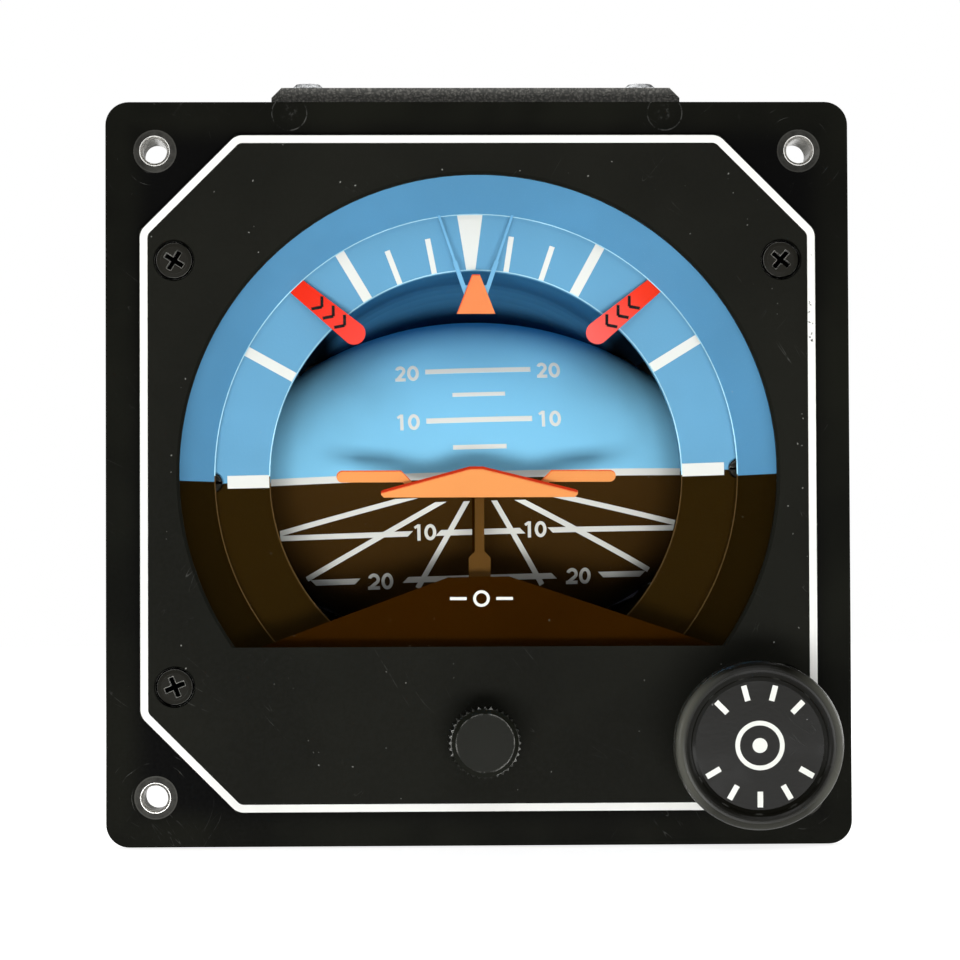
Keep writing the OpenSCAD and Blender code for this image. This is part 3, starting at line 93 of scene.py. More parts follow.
class Sketch:
    """Adds nodes to one node tree and links them.

    Args:
        tree: The material's or group's node tree.
    """

    def __init__(self, tree: NodeTree) -> None:
        """Starts with an empty tree."""
        self.tree = tree
        tree.nodes.clear()

    def add(self, kind: str, inputs: dict | None = None, **settings) -> Node:
        """Adds a node.

        Args:
            kind: The node's type name, without its "ShaderNode" start.
            inputs: Values or sockets by input name or number.
            **settings: The node's own properties.

        Returns:
            The new node.
        """
        node = self.tree.nodes.new("ShaderNode" + kind)
        for name, value in settings.items():
            setattr(node, name, value)
        for key, value in (inputs or {}).items():
            if isinstance(value, NodeSocket):
                self.tree.links.new(value, node.inputs[key])
            else:
                node.inputs[key].default_value = value
        return node

    def math(self, operation: str, a: Value, b: Value = 0.0) -> NodeSocket:
        """Returns the result of a Math node on two values or sockets."""
        return self.add("Math", {0: a, 1: b}, operation=operation).outputs[0]

    def times(self, a: Value, b: Value) -> NodeSocket:
        """Returns the product of two values or sockets."""
        return self.math("MULTIPLY", a, b)

    def plus(self, a: Value, b: Value) -> NodeSocket:
        """Returns the sum of two values or sockets."""
        return self.math("ADD", a, b)

    def minus(self, a: Value, b: Value) -> NodeSocket:
        """Returns a less b."""
        return self.math("SUBTRACT", a, b)

    def absolute(self, value: Value) -> NodeSocket:
        """Returns a value without its sign."""
        return self.math("ABSOLUTE", value)

    def mix(self, factor: Value, a: Tint, b: Tint) -> NodeSocket:
        """Returns a colour blended from a to b by a factor."""
        return self.add("Mix", {0: factor, 6: a, 7: b}, data_type="RGBA").outputs[2]

    def span(
        self, value: Value, low: float, high: float, start: float = 0.0, end: float = 1.0
    ) -> NodeSocket:
        """Returns a value spread smoothly from the range between low and high onto another."""
        inputs = {"Value": value, "From Min": low, "From Max": high, "To Min": start, "To Max": end}
        return self.add("MapRange", inputs, interpolation_type="SMOOTHSTEP").outputs[0]

    def ramp(self, value: Value, low: Value, high: Value) -> NodeSocket:
        """Returns a value spread evenly from a range, which may be given by sockets, onto 0 to 1."""
        inputs = {"Value": value, "From Min": low, "From Max": high}
        return self.add("MapRange", inputs).outputs[0]

    def noise(
        self, vector: NodeSocket, scale: Value, detail: float = 3.0, roughness: float = 0.55
    ) -> NodeSocket:
        """Returns the value of a Noise Texture."""
        inputs = {"Vector": vector, "Scale": scale, "Detail": detail, "Roughness": roughness}
        return self.add("TexNoise", inputs).outputs[0]

    def place(self) -> NodeSocket:
        """Returns the Object coordinates."""
        return self.add("TexCoord").outputs["Object"]

    def xyz(self) -> NodeOutputs:
        """Returns the three Object coordinates, each as its own socket."""
        return self.add("SeparateXYZ", {0: self.place()}).outputs

    def away(self, across: Value, up: Value) -> NodeSocket:
        """Returns how far away a point is that lies so far across and so far up."""
        squares = [self.times(side, side) for side in (across, up)]
        return self.math("SQRT", self.plus(*squares))

    def effect(self, group: NodeTree, values: dict) -> NodeOutputs:
        """Returns the outputs of one of the shared effects, used with its own values."""
        return self.add("Group", values, node_tree=group).outputs

    def give(self, **results: NodeSocket) -> NodeTree:
        """Makes the outputs of a group and links its results to them.

        Args:
            **results: The socket of each result by the name of its output.

        Returns:
            The group's node tree.
        """
        for name in results:
            self.tree.interface.new_socket(name, in_out="OUTPUT", socket_type="NodeSocketFloat")
        output = self.tree.nodes.new("NodeGroupOutput")
        for name, result in results.items():
            self.tree.links.new(result, output.inputs[name])
        return self.tree

    def show(self, shader: Node, kind: str = "OutputMaterial") -> None:
        """Links a shader to the output of the material or world."""
        self.tree.links.new(shader.outputs[0], self.add(kind).inputs["Surface"])

    def coat(self, colour: Tint, rough: Value, height: NodeSocket, depth: float, more: dict) -> None:
        """Draws the shader of a surface and shows it.

        Args:
            colour: The socket of its colour.
            rough: The socket of its roughness.
            height: The socket of its fine relief.
            depth: How deep the relief is, in metres.
            more: Other inputs of the shader by name.
        """
        bump = self.add("Bump", {"Height": height, "Distance": depth})
        inputs = {"Base Color": colour, "Roughness": rough, "Normal": bump.outputs[0], **more}
        self.show(self.add("BsdfPrincipled", inputs))


def effect_group(name: str, inputs: dict[str, float]) -> tuple[Sketch, dict[str, NodeSocket]]:
    """Makes an empty shader node group with named float inputs.

    Args:
        name: The group's name.
        inputs: Default value by input name.

    Returns:
        The sketch of its tree, and its input sockets by name.
    """
    tree = bpy.data.node_groups.new(name, "ShaderNodeTree")
    for key, value in inputs.items():
        tree.interface.new_socket(key, in_out="INPUT", socket_type="NodeSocketFloat").default_value = value
    sketch = Sketch(tree)
    source = tree.nodes.new("NodeGroupInput")
    return sketch, {key: source.outputs[key] for key in inputs}


class Effects:
    """The shared effects, each a node group that is made once."""

    def __init__(self) -> None:
        """Makes every group."""
        self.wear = self._edge_wear()
        self.dust = self._dust_specks()
        self.scuffs = self._scuffs()
        self.grain = self._paint_grain()
        self.holes = self._hole_marks()
        self.arc = self._arc_scratch()

    @staticmethod
    def _edge_wear() -> NodeTree:
        """Makes a group whose mask marks the places where an edge is rubbed bare.

        Returns:
            The group's node tree.
        """
        s, given = effect_group("edge_wear", {"Radius": 0.0004, "Patch Scale": 90.0, "Amount": 0.5})
        round_normal = s.add("Bevel", {"Radius": given["Radius"]}, samples=4).outputs[0]
        flat_normal = s.add("NewGeometry").outputs["Normal"]
        facing = s.add("VectorMath", {0: round_normal, 1: flat_normal}, operation="DOT_PRODUCT").outputs[1]
        edge = s.span(facing, 0.995, 0.86)
        patch = s.noise(s.place(), given["Patch Scale"], 6.0, 0.7)
        limit = s.minus(0.92, s.times(given["Amount"], 0.6))
        return s.give(Rubbed=s.times(edge, s.ramp(patch, limit, s.plus(limit, 0.06))))

    @staticmethod
    def _dust_specks() -> NodeTree:
        """Makes a group whose mask marks fine dust, with more of it in some places.

        Returns:
            The group's node tree.
        """
        s, given = effect_group("dust_specks", {"Scale": 1500.0, "Size": 0.22, "Amount": 0.3})
        bent = s.add("TexNoise", {"Vector": s.place(), "Scale": 1800.0, "Detail": 2.0}).outputs["Color"]
        moved = s.add("MixRGB", {0: 0.0004, 1: s.place(), 2: bent}, blend_type="ADD").outputs[0]
        cells = s.add("TexVoronoi", {"Vector": moved, "Scale": given["Scale"]})
        drawn = s.add("SeparateColor", {0: cells.outputs["Color"]}).outputs
        size = s.times(given["Size"], s.math("POWER", drawn[1], 2.0))
        speck = s.ramp(cells.outputs["Distance"], size, 0.0)
        drift = s.times(s.span(s.noise(s.place(), 70.0, 4.0, 0.7), 0.4, 0.75), given["Amount"])
        chosen = s.math("LESS_THAN", drawn[0], drift)
        return s.give(Mask=s.times(speck, chosen))

    @staticmethod
    def _scuffs() -> NodeTree:
        """Makes a group whose mask holds a few long, thin, crossing scratches.

        Returns:
            The group's node tree.
        """
        s, given = effect_group("fine_scuffs", {"Scale": 30.0, "Amount": 0.4})
        total = 0.0
        for turn in (0.6, 2.2, 4.1):
            spin = {"Vector": s.place(), "Rotation": (0.0, turn, 0.0)}
            turned = s.add("Mapping", spin, vector_type="TEXTURE")
            long = s.add("Mapping", {"Vector": turned.outputs[0], "Scale": (1.0, 1.0, 9.0)})
            line = s.noise(long.outputs[0], given["Scale"], 2.0, 0.5)
            thin = s.span(s.absolute(s.minus(line, 0.5)), 0.0035, 0.0)
            patch = s.add("Mapping", {"Vector": s.place(), "Location": (turn, turn, turn)}).outputs[0]
            here = s.span(s.noise(patch, 90.0, 2.0), 0.6, 0.75)
            total = s.math("MAXIMUM", total, s.times(thin, here))
        where = s.span(s.noise(s.place(), 900.0, 2.0), 0.4, 0.6)
        return s.give(Mask=s.times(s.times(total, where), given["Amount"]))

    @staticmethod
    def _paint_grain() -> NodeTree:
        """Makes a group with the fine height and broad tone of sprayed paint.

        Returns:
            The group's node tree.
        """
        s, given = effect_group("paint_grain", {"Scale": 2500.0, "Tone Scale": 40.0})
        tone = s.span(s.noise(s.place(), given["Tone Scale"], 3.0), 0.3, 0.7)
        return s.give(Height=s.noise(s.place(), given["Scale"], 2.0), Tone=tone)

    @staticmethod
    def _hole_marks() -> NodeTree:
        """Makes a group with the ring that a washer rubs round four holes, and faint arcs about them.

        Returns:
            The group's node tree.
        """
        s, given = effect_group("hole_marks", {"Across": 0.044, "Up": 0.044, "Radius": 0.003})
        place = s.xyz()
        across = s.minus(s.absolute(place[0]), given["Across"])
        up = s.minus(s.absolute(place[2]), given["Up"])
        away = s.away(across, up)
        share = s.math("DIVIDE", away, given["Radius"])
        patchy = s.span(s.noise(s.place(), 600.0, 5.0, 0.7), 0.3, 0.7, 0.45, 1.0)
        rim = s.span(s.absolute(s.minus(share, 0.96)), 0.04, 0.0, 0.0, 1.6)
        inside = s.span(share, 1.0, 0.97)
        ring = s.times(inside, s.plus(patchy, rim))
        wave = s.math("FRACT", s.plus(s.times(share, 1.9), s.noise(s.place(), 150.0, 2.0)))
        thin = s.span(s.absolute(s.minus(wave, 0.5)), 0.035, 0.0)
        near = s.times(s.span(share, 3.6, 1.4), s.span(s.noise(s.place(), 260.0, 3.0), 0.55, 0.7))
        return s.give(Ring=ring, Arcs=s.times(thin, near))

    @staticmethod
    def _arc_scratch() -> NodeTree:
        """Makes a group whose mask is one broken arc, the same on the left and the right.

        Returns:
            The group's node tree.
        """
        sizes = {"Across": 0.0259, "Up": 0.0497, "Radius": 0.0024, "Width": 0.00012}
        s, given = effect_group("arc_scratch", sizes)
        place = s.xyz()
        across = s.minus(s.absolute(place[0]), given["Across"])
        up = s.minus(place[2], given["Up"])
        away = s.away(across, up)
        off = s.absolute(s.minus(away, given["Radius"]))
        line = s.ramp(off, given["Width"], 0.0)
        broken = s.span(s.noise(s.place(), 500.0, 4.0, 0.7), 0.42, 0.6)
        smear = s.times(s.span(away, 0.0016, 0.0), s.span(s.noise(s.place(), 1500.0, 3.0), 0.5, 0.7))
        return s.give(Mask=s.plus(s.times(line, broken), s.times(smear, 0.6)))


EFFECTS = Effects()


@dataclass(frozen=True)
class Finish:
    """What a surface is made of or painted with.

    Attributes:
        name: The material's name.
        colour: Its colour.
    """

    name: str
    colour: Colour

    def base(self, s: Sketch) -> Tint:
        """Returns the colour before tone, dust and wear."""
        return self.colour

    def draw(self, s: Sketch) -> None:
        """Draws the nodes of the finish."""
        raise NotImplementedError

    def material(self) -> Material:
        """Makes the finished material.

        Returns:
            The material.
        """
        material = bpy.data.materials.new(self.name)
        material.use_nodes = True
        self.draw(Sketch(material.node_tree))
        return material


@dataclass(frozen=True)
class Paint(Finish):
    """Sprayed paint on metal, with grain, dust, scuffs and rubbed edges.

    Attributes:
        bare: What shows where an edge is rubbed through.
        roughness: Its mean roughness.
        shine: The shader's specular level.
        grain: Height of the paint grain in metres.
        tone: How much the colour varies over the surface.
        dust: How much dust lies on it.
        wear: How much of its edges is rubbed.
        wear_width: Width of a rubbed edge in metres.
        scuffs: How strong the scratches are.
    """

    bare: Colour = (0.45, 0.45, 0.42, 1.0)
    roughness: float = 0.5
    shine: float = 0.04
    grain: float = 0.00001
    tone: float = 0.1
    dust: float = 0.0
    wear: float = 0.0
    wear_width: float = 0.00025
    scuffs: float = 0.0

    def gloss(self, s: Sketch) -> Value:
        """Returns the shader's specular level."""
        return self.shine

    def draw(self, s: Sketch) -> None:
        """Draws the colour, what has happened to it, and the paint's grain.

        Args:
            s: The sketch of its material.
        """
        grain = s.effect(EFFECTS.grain, {})
        level = s.span(grain["Tone"], 0.0, 1.0, 1.0 - self.tone, 1.0 + self.tone)
        values = {0: s.mix(0.0, self.base(s), grey(0.0)), "Scale": level}
        colour = s.add("VectorMath", values, operation="SCALE").outputs[0]
        rough = s.span(grain["Height"], 0.3, 0.7, self.roughness - 0.06, self.roughness + 0.06)
        if self.scuffs:
            colour = s.mix(s.effect(EFFECTS.scuffs, {"Amount": self.scuffs})[0], colour, self.bare)
        if self.wear:
            rubbed = s.effect(EFFECTS.wear, {"Radius": self.wear_width, "Amount": self.wear})[0]
            colour = s.mix(rubbed, colour, self.bare)
        if self.dust:
            specks = s.effect(EFFECTS.dust, {"Amount": self.dust})[0]
            colour = s.mix(s.times(specks, 0.7), colour, DUST)
        s.coat(colour, rough, grain["Height"], self.grain, {"Specular IOR Level": self.gloss(s)})


@dataclass(frozen=True)
class UpEdgeShadePaint(Paint):
    """Paint with painted shade: the edges that face up are painted a deeper colour, for the shade they get
    from light that comes from below.

    Attributes:
        edge: Its colour there, the painted shade.
        edge_width: Width of such an edge, in metres.
        facing: Direction that such an edge faces.
    """

    edge: Colour = (0.75, 0.045, 0.012, 1.0)
    edge_width: float = 0.0004
    facing: tuple[float, float, float] = (-0.25, 0.0, 0.97)

    def base(self, s: Sketch) -> NodeSocket:
        """Returns the colour with its upward edges painted deeper, as painted shade.

        Args:
            s: The sketch of its material.

        Returns:
            The socket of the colour.
        """
        # Painted shade: edges that lean towards the facing direction get the deeper colour.
        soft = s.add("Bevel", {"Radius": self.edge_width}, samples=6).outputs[0]
        lean = s.add("VectorMath", {0: soft, 1: self.facing}, operation="DOT_PRODUCT").outputs["Value"]
        return s.mix(s.span(lean, 0.08, 0.32), self.colour, self.edge)


@dataclass(frozen=True)
class SlotShadedScrewPaint(Paint):
    """Paint of a screw head, with painted shade: its slot is painted black and without shine, for the shade
    in the recess.

    Attributes:
        slot_y: Depth at which the painted shade begins, in metres.
        slot_fade: Depth over which it sets in, in metres.
    """

    slot_y: float = 0.0
    slot_fade: float = 0.0001

    def slot(self, s: Sketch) -> NodeSocket:
        """Returns the mask of the painted shade, which is 1 in the slot."""
        return s.span(s.xyz()["Y"], self.slot_y, self.slot_y + self.slot_fade)

    def base(self, s: Sketch) -> NodeSocket:
        """Returns the head's colour, and black painted shade in the slot."""
        return s.mix(self.slot(s), self.colour, grey(0.0003))

    def gloss(self, s: Sketch) -> NodeSocket:
        """Returns the head's specular level, and none in the slot, where the painted shade also takes out
        reflections.
        """
        return s.times(s.minus(1.0, self.slot(s)), self.shine)


@dataclass(frozen=True)
class FadingPaint(Paint):
    """Paint of a flag, paler towards the middle of the dial.

    Attributes:
        pale: Its colour there.
        pale_r: Radius of the palest part, in metres.
        full_r: Radius at which the paint is as new, in metres.
    """

    pale: Colour = (1.0, 0.1, 0.08, 1.0)
    pale_r: float = 0.026
    full_r: float = 0.037

    def base(self, s: Sketch) -> NodeSocket:
        """Returns the full colour at the rim of the dial and the pale one inside."""
        radius = s.add("VectorMath", {0: s.place()}, operation="LENGTH").outputs["Value"]
        return s.mix(s.span(radius, self.pale_r, self.full_r), self.pale, self.colour)


@dataclass(frozen=True)
class HorizonPaint(Paint):
    """Paint that is sky blue above a line and earth brown below it.

    Attributes:
        ground: The colour below the line.
        line_z: Height of the line on the instrument's axis, in metres.
        tilt: Slope of the line, its right side up, in degrees.
    """

    ground: Colour = (0.05, 0.025, 0.005, 1.0)
    line_z: float = 0.0
    tilt: float = 0.0

    def base(self, s: Sketch) -> NodeSocket:
        """Returns blue above the line and brown below it.

        Args:
            s: The sketch of its material.

        Returns:
            The socket of the colour.
        """
        values = {"Vector": s.place(), "Rotation": (0.0, math.radians(self.tilt), 0.0)}
        turned = s.add("Mapping", values).outputs[0]
        height = s.add("SeparateXYZ", {0: turned}).outputs["Z"]
        soft = 0.04 * MM
        above = s.ramp(height, self.line_z - soft, self.line_z + soft)
        return s.mix(above, self.ground, self.colour)


@dataclass(frozen=True)
class RingAndShadedHoodPaint(HorizonPaint):
    """Horizon paint of the roll ring, with painted shade on the hood (the ring's shade) behind it: dark blue
    that fades to black towards the drum and the ends, and near black below the horizon.

    Attributes:
        inside: The colour of the hood behind the ring where it is lightest, its blue paint darkened as
            painted shade.
        dark: The same beside the drum, darker still as painted shade, where little light comes.
        front_y: Depth of the ring's back, in metres.
        low_r: Radius of the darkest part, in metres.
        high_r: Radius of the lightest part, in metres.
        end_x: Sideways place of the hood's ends, which are painted black as shade, in metres.
        end_w: Width over which it darkens towards them, in metres.
        ends: Colour of its ends, a painted shade.
        under: Colour of the ring's inside below the horizon, near black as painted shade.
    """

    inside: Colour = (0.05, 0.2, 0.36, 1.0)
    dark: Colour = (0.01, 0.04, 0.08, 1.0)
    front_y: float = 0.0146
    low_r: float = 0.0235
    high_r: float = 0.0295
    end_x: float = 0.0215
    end_w: float = 0.0035
    ends: Colour = (0.002, 0.005, 0.009, 1.0)
    under: Colour = (0.004, 0.003, 0.001, 1.0)

    def base(self, s: Sketch) -> NodeSocket:
        """Returns the front's two colours, and the painted shade of the hood behind.

        Args:
            s: The sketch of its material.

        Returns:
            The socket of the colour.
        """
        place = s.xyz()
        radius = s.away(place[0], place[2])
        # Painted shade on the hood: darker towards the drum, black at its ends and below the horizon.
        sky = s.mix(s.span(radius, self.low_r, self.high_r), self.dark, self.inside)
        end_shade = s.span(s.absolute(place[0]), self.end_x - self.end_w, self.end_x)
        sky = s.mix(end_shade, sky, self.ends)
        shade = s.mix(s.math("GREATER_THAN", place[2], 0.0), self.under, sky)
        behind = s.math("GREATER_THAN", place[1], self.front_y)
        return s.mix(behind, super().base(s), shade)


@dataclass(frozen=True)
class FlangePaint(Paint):
    """Black paint with the marks that washers and clamps have left on it, and a painted highlight: lighter
    towards its rim, where the rounded edge catches light.

    Attributes:
        rim_highlight: Colour of the paint at the flange's rim, a painted highlight.
        rubbed: Colour of the paint where a washer has rubbed it.
        scratch: Colour of the paint in a fine scratch.
        hole: Place of the mounting hole at the upper right, in metres.
        edge_w: Width over which the painted highlight sets in outside the holes, in metres.
    """

    rim_highlight: Colour = (0.0052, 0.0054, 0.0036, 1.0)
    rubbed: Colour = (0.05, 0.049, 0.044, 1.0)
    scratch: Colour = (0.16, 0.16, 0.15, 1.0)
    hole: Place = (0.0444, 0.0444)
    edge_w: float = 0.005

    def base(self, s: Sketch) -> NodeSocket:
        """Returns black with a painted highlight towards the rim, grey rings at the holes and two arcs at the
        top.

        Args:
            s: The sketch of its material.

        Returns:
            The socket of the colour.
        """
        place = s.xyz()
        out = s.math("MAXIMUM", s.absolute(place[0]), s.absolute(place[2]))
        marks = s.effect(EFFECTS.holes, {"Across": self.hole[0], "Up": self.hole[1]})
        arc = s.effect(EFFECTS.arc, {})[0]
        # Painted highlight: lighter towards the outer edge, beyond the holes.
        colour = s.mix(s.span(out, self.hole[0], self.hole[0] + self.edge_w), self.colour, self.rim_highlight)
        colour = s.mix(marks["Ring"], colour, self.rubbed)
        lines = s.math("MAXIMUM", s.times(marks["Arcs"], 0.35), s.times(arc, 0.45))
        return s.mix(lines, colour, self.scratch)


@dataclass(frozen=True)
class ChippedPaint(Paint):
    """White paint with small chips, most of them in one place.

    Attributes:
        under: The colour under it.
        worn_z: Height of the middle of the worn place on the right, in metres.
        worn_h: Half height of that place, in metres.
        worn_x: Its inner end, in metres.
    """

    under: Colour = (0.012, 0.012, 0.01, 1.0)
    worn_z: float = 0.022
    worn_h: float = 0.016
    worn_x: float = 0.04

    def base(self, s: Sketch) -> NodeSocket:
        """Returns white with chips that show the colour under it.

        Args:
            s: The sketch of its material.

        Returns:
            The socket of the colour.
        """
        place = s.xyz()
        height = s.span(s.absolute(s.minus(place[2], self.worn_z)), self.worn_h, 0.0)
        worn = s.times(height, s.math("GREATER_THAN", place[0], self.worn_x))
        limit = s.span(worn, 0.0, 1.0, 0.745, 0.6)
        chips = s.noise(s.place(), 1300.0, 5.0, 0.65)
        return s.mix(s.ramp(chips, limit, s.plus(limit, 0.03)), self.colour, self.under)


@dataclass(frozen=True)
class WrinklePaint(Finish):
    """Thick black paint that has dried into small leathery wrinkles.

    Attributes:
        scale: How many wrinkles there are in a metre.
        height: Height of a wrinkle in metres.
        smooth: How soft the folds between wrinkles are.
        top: Colour of the tops of the wrinkles.
    """

    scale: float = 2800.0
    height: float = 0.00012
    smooth: float = 0.6
    top: Colour = (0.3, 0.29, 0.26, 1.0)

    def draw(self, s: Sketch) -> None:
        """Draws the wrinkles, paler on top, with dust and rubbed edges.

        Args:
            s: The sketch of its material.
        """
        bent = s.add("TexNoise", {"Vector": s.place(), "Scale": 400.0, "Detail": 2.0}).outputs["Color"]
        moved = s.add("MixRGB", {0: 0.0015, 1: s.place(), 2: bent}, blend_type="ADD").outputs[0]
        values = {"Vector": moved, "Scale": self.scale, "Smoothness": self.smooth}
        cells = s.add("TexVoronoi", values, feature="SMOOTH_F1")
        ridge = s.span(cells.outputs["Distance"], 0.1, 0.7, 1.0, 0.0)
        fine = s.noise(s.place(), 3500.0, 2.0)
        height = s.plus(ridge, s.times(fine, 0.25))
        dust = s.effect(EFFECTS.dust, {"Amount": 0.35, "Scale": 500.0})[0]
        rubbed = s.effect(EFFECTS.wear, {"Radius": 0.0005, "Amount": 0.45})[0]
        pale = s.mix(s.times(ridge, 0.6), self.colour, self.top)
        colour = s.mix(rubbed, s.mix(s.times(dust, 0.5), pale, grey(0.4)), grey(0.3))
        rough = s.span(ridge, 0.0, 1.0, 0.75, 0.42)
        s.coat(colour, rough, height, self.height, {"Specular IOR Level": 0.4})


class Tooling(Enum):
    """How a metal surface was worked, by how fine its marks are along X, Y and Z."""

    TURNED = (1.0, 30.0, 1.0)
    MILLED = (25.0, 1.0, 2.0)
    CAST = (1.0, 1.0, 1.0)


@dataclass(frozen=True)
class Metal(Finish):
    """Bare or plated metal with tool marks and stains.

    Attributes:
        tooling: How it was worked.
        roughness: Its mean roughness.
        stain: Colour of the tarnish in its hollows and patches.
    """

    tooling: Tooling = Tooling.TURNED
    roughness: float = 0.3
    stain: Colour = (0.2, 0.18, 0.15, 1.0)

    def draw(self, s: Sketch) -> None:
        """Draws the metal with its tool marks and tarnish.

        Args:
            s: The sketch of its material.
        """
        lines = s.add("Mapping", {"Vector": s.place(), "Scale": self.tooling.value}).outputs[0]
        marks = s.noise(lines, 700.0, 3.0, 0.6)
        patches = s.span(s.noise(s.place(), 120.0, 5.0, 0.65), 0.5, 0.75, 0.0, 0.45)
        colour = s.mix(patches, self.colour, self.stain)
        rough = s.span(marks, 0.3, 0.7, self.roughness - 0.08, self.roughness + 0.1)
        rough = s.plus(rough, s.times(patches, 0.3))
        s.coat(colour, rough, marks, 0.02 * MM, {"Metallic": 1.0})


@dataclass(frozen=True)
class CoatedGlass(Finish):
    """Clear glass with an anti-reflection coating, which lets the lamps through.

    Attributes:
        index: Its index of refraction, low because of the coating.
    """

    index: float = 1.04

    def draw(self, s: Sketch) -> None:
        """Draws slightly smeared glass that is clear to light from the lamps.

        Args:
            s: The sketch of its material.
        """
        smear = s.span(s.noise(s.place(), 35.0, 4.0), 0.45, 0.75, 0.0, 0.02)
        inputs = {"Base Color": self.colour, "Roughness": smear, "IOR": self.index}
        glass = s.add("BsdfPrincipled", {**inputs, "Transmission Weight": 1.0})
        clear = s.add("BsdfTransparent")
        path = s.add("LightPath").outputs
        through = s.math("MAXIMUM", path["Is Shadow Ray"], path["Is Diffuse Ray"])
        s.show(s.add("MixShader", {0: through, 1: glass.outputs[0], 2: clear.outputs[0]}))


@dataclass(frozen=True)
class Moulded(Finish):
    """Moulded plastic or rubber with a soft texture and small marks.

    Attributes:
        roughness: Its mean roughness.
        shine: The shader's specular level.
        texture: Height of its texture in metres.
        dust: How much dust lies on it.
        scuffs: How strong its scratches are.
    """

    roughness: float = 0.35
    shine: float = 0.4
    texture: float = 0.00001
    dust: float = 0.3
    scuffs: float = 0.2

    def draw(self, s: Sketch) -> None:
        """Draws the colour, with dust, scratches and a fine texture.

        Args:
            s: The sketch of its material.
        """
        fine = s.noise(s.place(), 1800.0, 3.0)
        broad = s.span(s.noise(s.place(), 90.0, 3.0), 0.35, 0.7)
        specks = s.effect(EFFECTS.dust, {"Amount": self.dust})[0]
        scratch = s.effect(EFFECTS.scuffs, {"Amount": self.scuffs, "Scale": 45.0})[0]
        colour = s.mix(s.times(broad, 0.25), self.base(s), grey(0.012))
        colour = s.mix(s.times(specks, 0.5), colour, grey(0.5))
        colour = s.mix(s.times(scratch, 0.5), colour, grey(0.2))
        rough = s.span(s.plus(broad, scratch), 0.0, 1.4, self.roughness, self.roughness + 0.15)
        s.coat(colour, rough, fine, self.texture, {"Specular IOR Level": self.shine})


@dataclass(frozen=True)
class RimHighlightPlastic(Moulded):
    """Moulded plastic of a knob, with a painted highlight: its rim is painted grey at both sides and at the
    bottom, for the lamps that shine on it there.

    Attributes:
        centre: Place of the knob's axis, in metres.
        rim_r: Radius at which its rim begins, in metres.
        rim_w: Width over which the painted highlight sets in, in metres.
        rubbed: Colour of the rim's painted highlight.
    """

    centre: Place = (0.0, 0.0)
    rim_r: float = 0.01
    rim_w: float = 0.0012
    rubbed: Colour = (0.095, 0.095, 0.078, 1.0)

    def base(self, s: Sketch) -> NodeSocket:
        """Returns the knob's colour, with a painted highlight at both sides and the bottom of its rim.

        Args:
            s: The sketch of its material.

        Returns:
            The socket of the colour.
        """
        place = s.xyz()
        across = s.minus(place[0], self.centre[0])
        up = s.minus(place[2], self.centre[1])
        radius = s.away(across, up)
        # Painted highlight: the rim is greyer where it faces sideways and down.
        side = s.span(s.math("DIVIDE", s.absolute(across), radius), 0.3, 1.0)
        low = s.span(s.math("DIVIDE", up, radius), 0.0, -1.0, 0.0, 0.35)
        rim = s.span(radius, self.rim_r, self.rim_r + self.rim_w)
        return s.mix(s.times(rim, s.math("MAXIMUM", side, low)), self.colour, self.rubbed)


def deselect() -> None:
    """Deselects every object."""
    bpy.ops.object.select_all(action="DESELECT")


def focus(piece: Object) -> None:
    """Makes a piece the only selected one, and active.

    Args:
        piece: The piece.
    """
    deselect()
    piece.select_set(True)
    bpy.context.view_layer.objects.active = piece


@contextmanager
def editing(piece: Object, whole: bool = True) -> Iterator[None]:
    """Opens edit mode on a piece, with all of it selected or what was before, and closes it again.

    Args:
        piece: The piece.
        whole: Whether all of it gets selected.
    """
    focus(piece)
    bpy.ops.object.mode_set(mode="EDIT")
    if whole:
        bpy.ops.mesh.select_all(action="SELECT")
    yield
    bpy.ops.object.mode_set(mode="OBJECT")


@contextmanager
def picked(piece: Object, kind: str, chosen: Callable[[Vector], bool]) -> Iterator[None]:
    """Opens edit mode on a piece with some of its points, edges or faces selected, and closes it again.

    Args:
        piece: The piece.
        kind: VERT, EDGE or FACE.
        chosen: Says whether the one with its middle at a place is selected.
    """
    with editing(piece):
        bpy.ops.mesh.select_mode(type=kind)
        bpy.ops.mesh.select_all(action="DESELECT")
    mesh = piece.data
    for part in {"VERT": mesh.vertices, "EDGE": mesh.edges, "FACE": mesh.polygons}[kind]:
        corners = [part.index] if kind == "VERT" else part.vertices
        places = [mesh.vertices[i].co for i in corners]
        part.select = chosen(sum(places, Vector()) / len(places))
    with editing(piece, whole=False):
        yield


def settle(piece: Object, location: Vector, turn: float = 0.0) -> Object:
    """Stands a flat piece up to face the viewer, places it, and applies that to its mesh.

    Args:
        piece: A piece that was modelled flat, round the origin.
        location: Where its origin goes, in metres.
        turn: Turn in the plane of the dial, counter-clockwise as seen, in degrees.

    Returns:
        The same piece, with its object at the origin.
    """
    focus(piece)
    piece.rotation_euler = (FACING, -math.radians(turn), 0.0)
    piece.location = location
    bpy.ops.object.transform_apply(location=True, rotation=True, scale=True)
    return piece


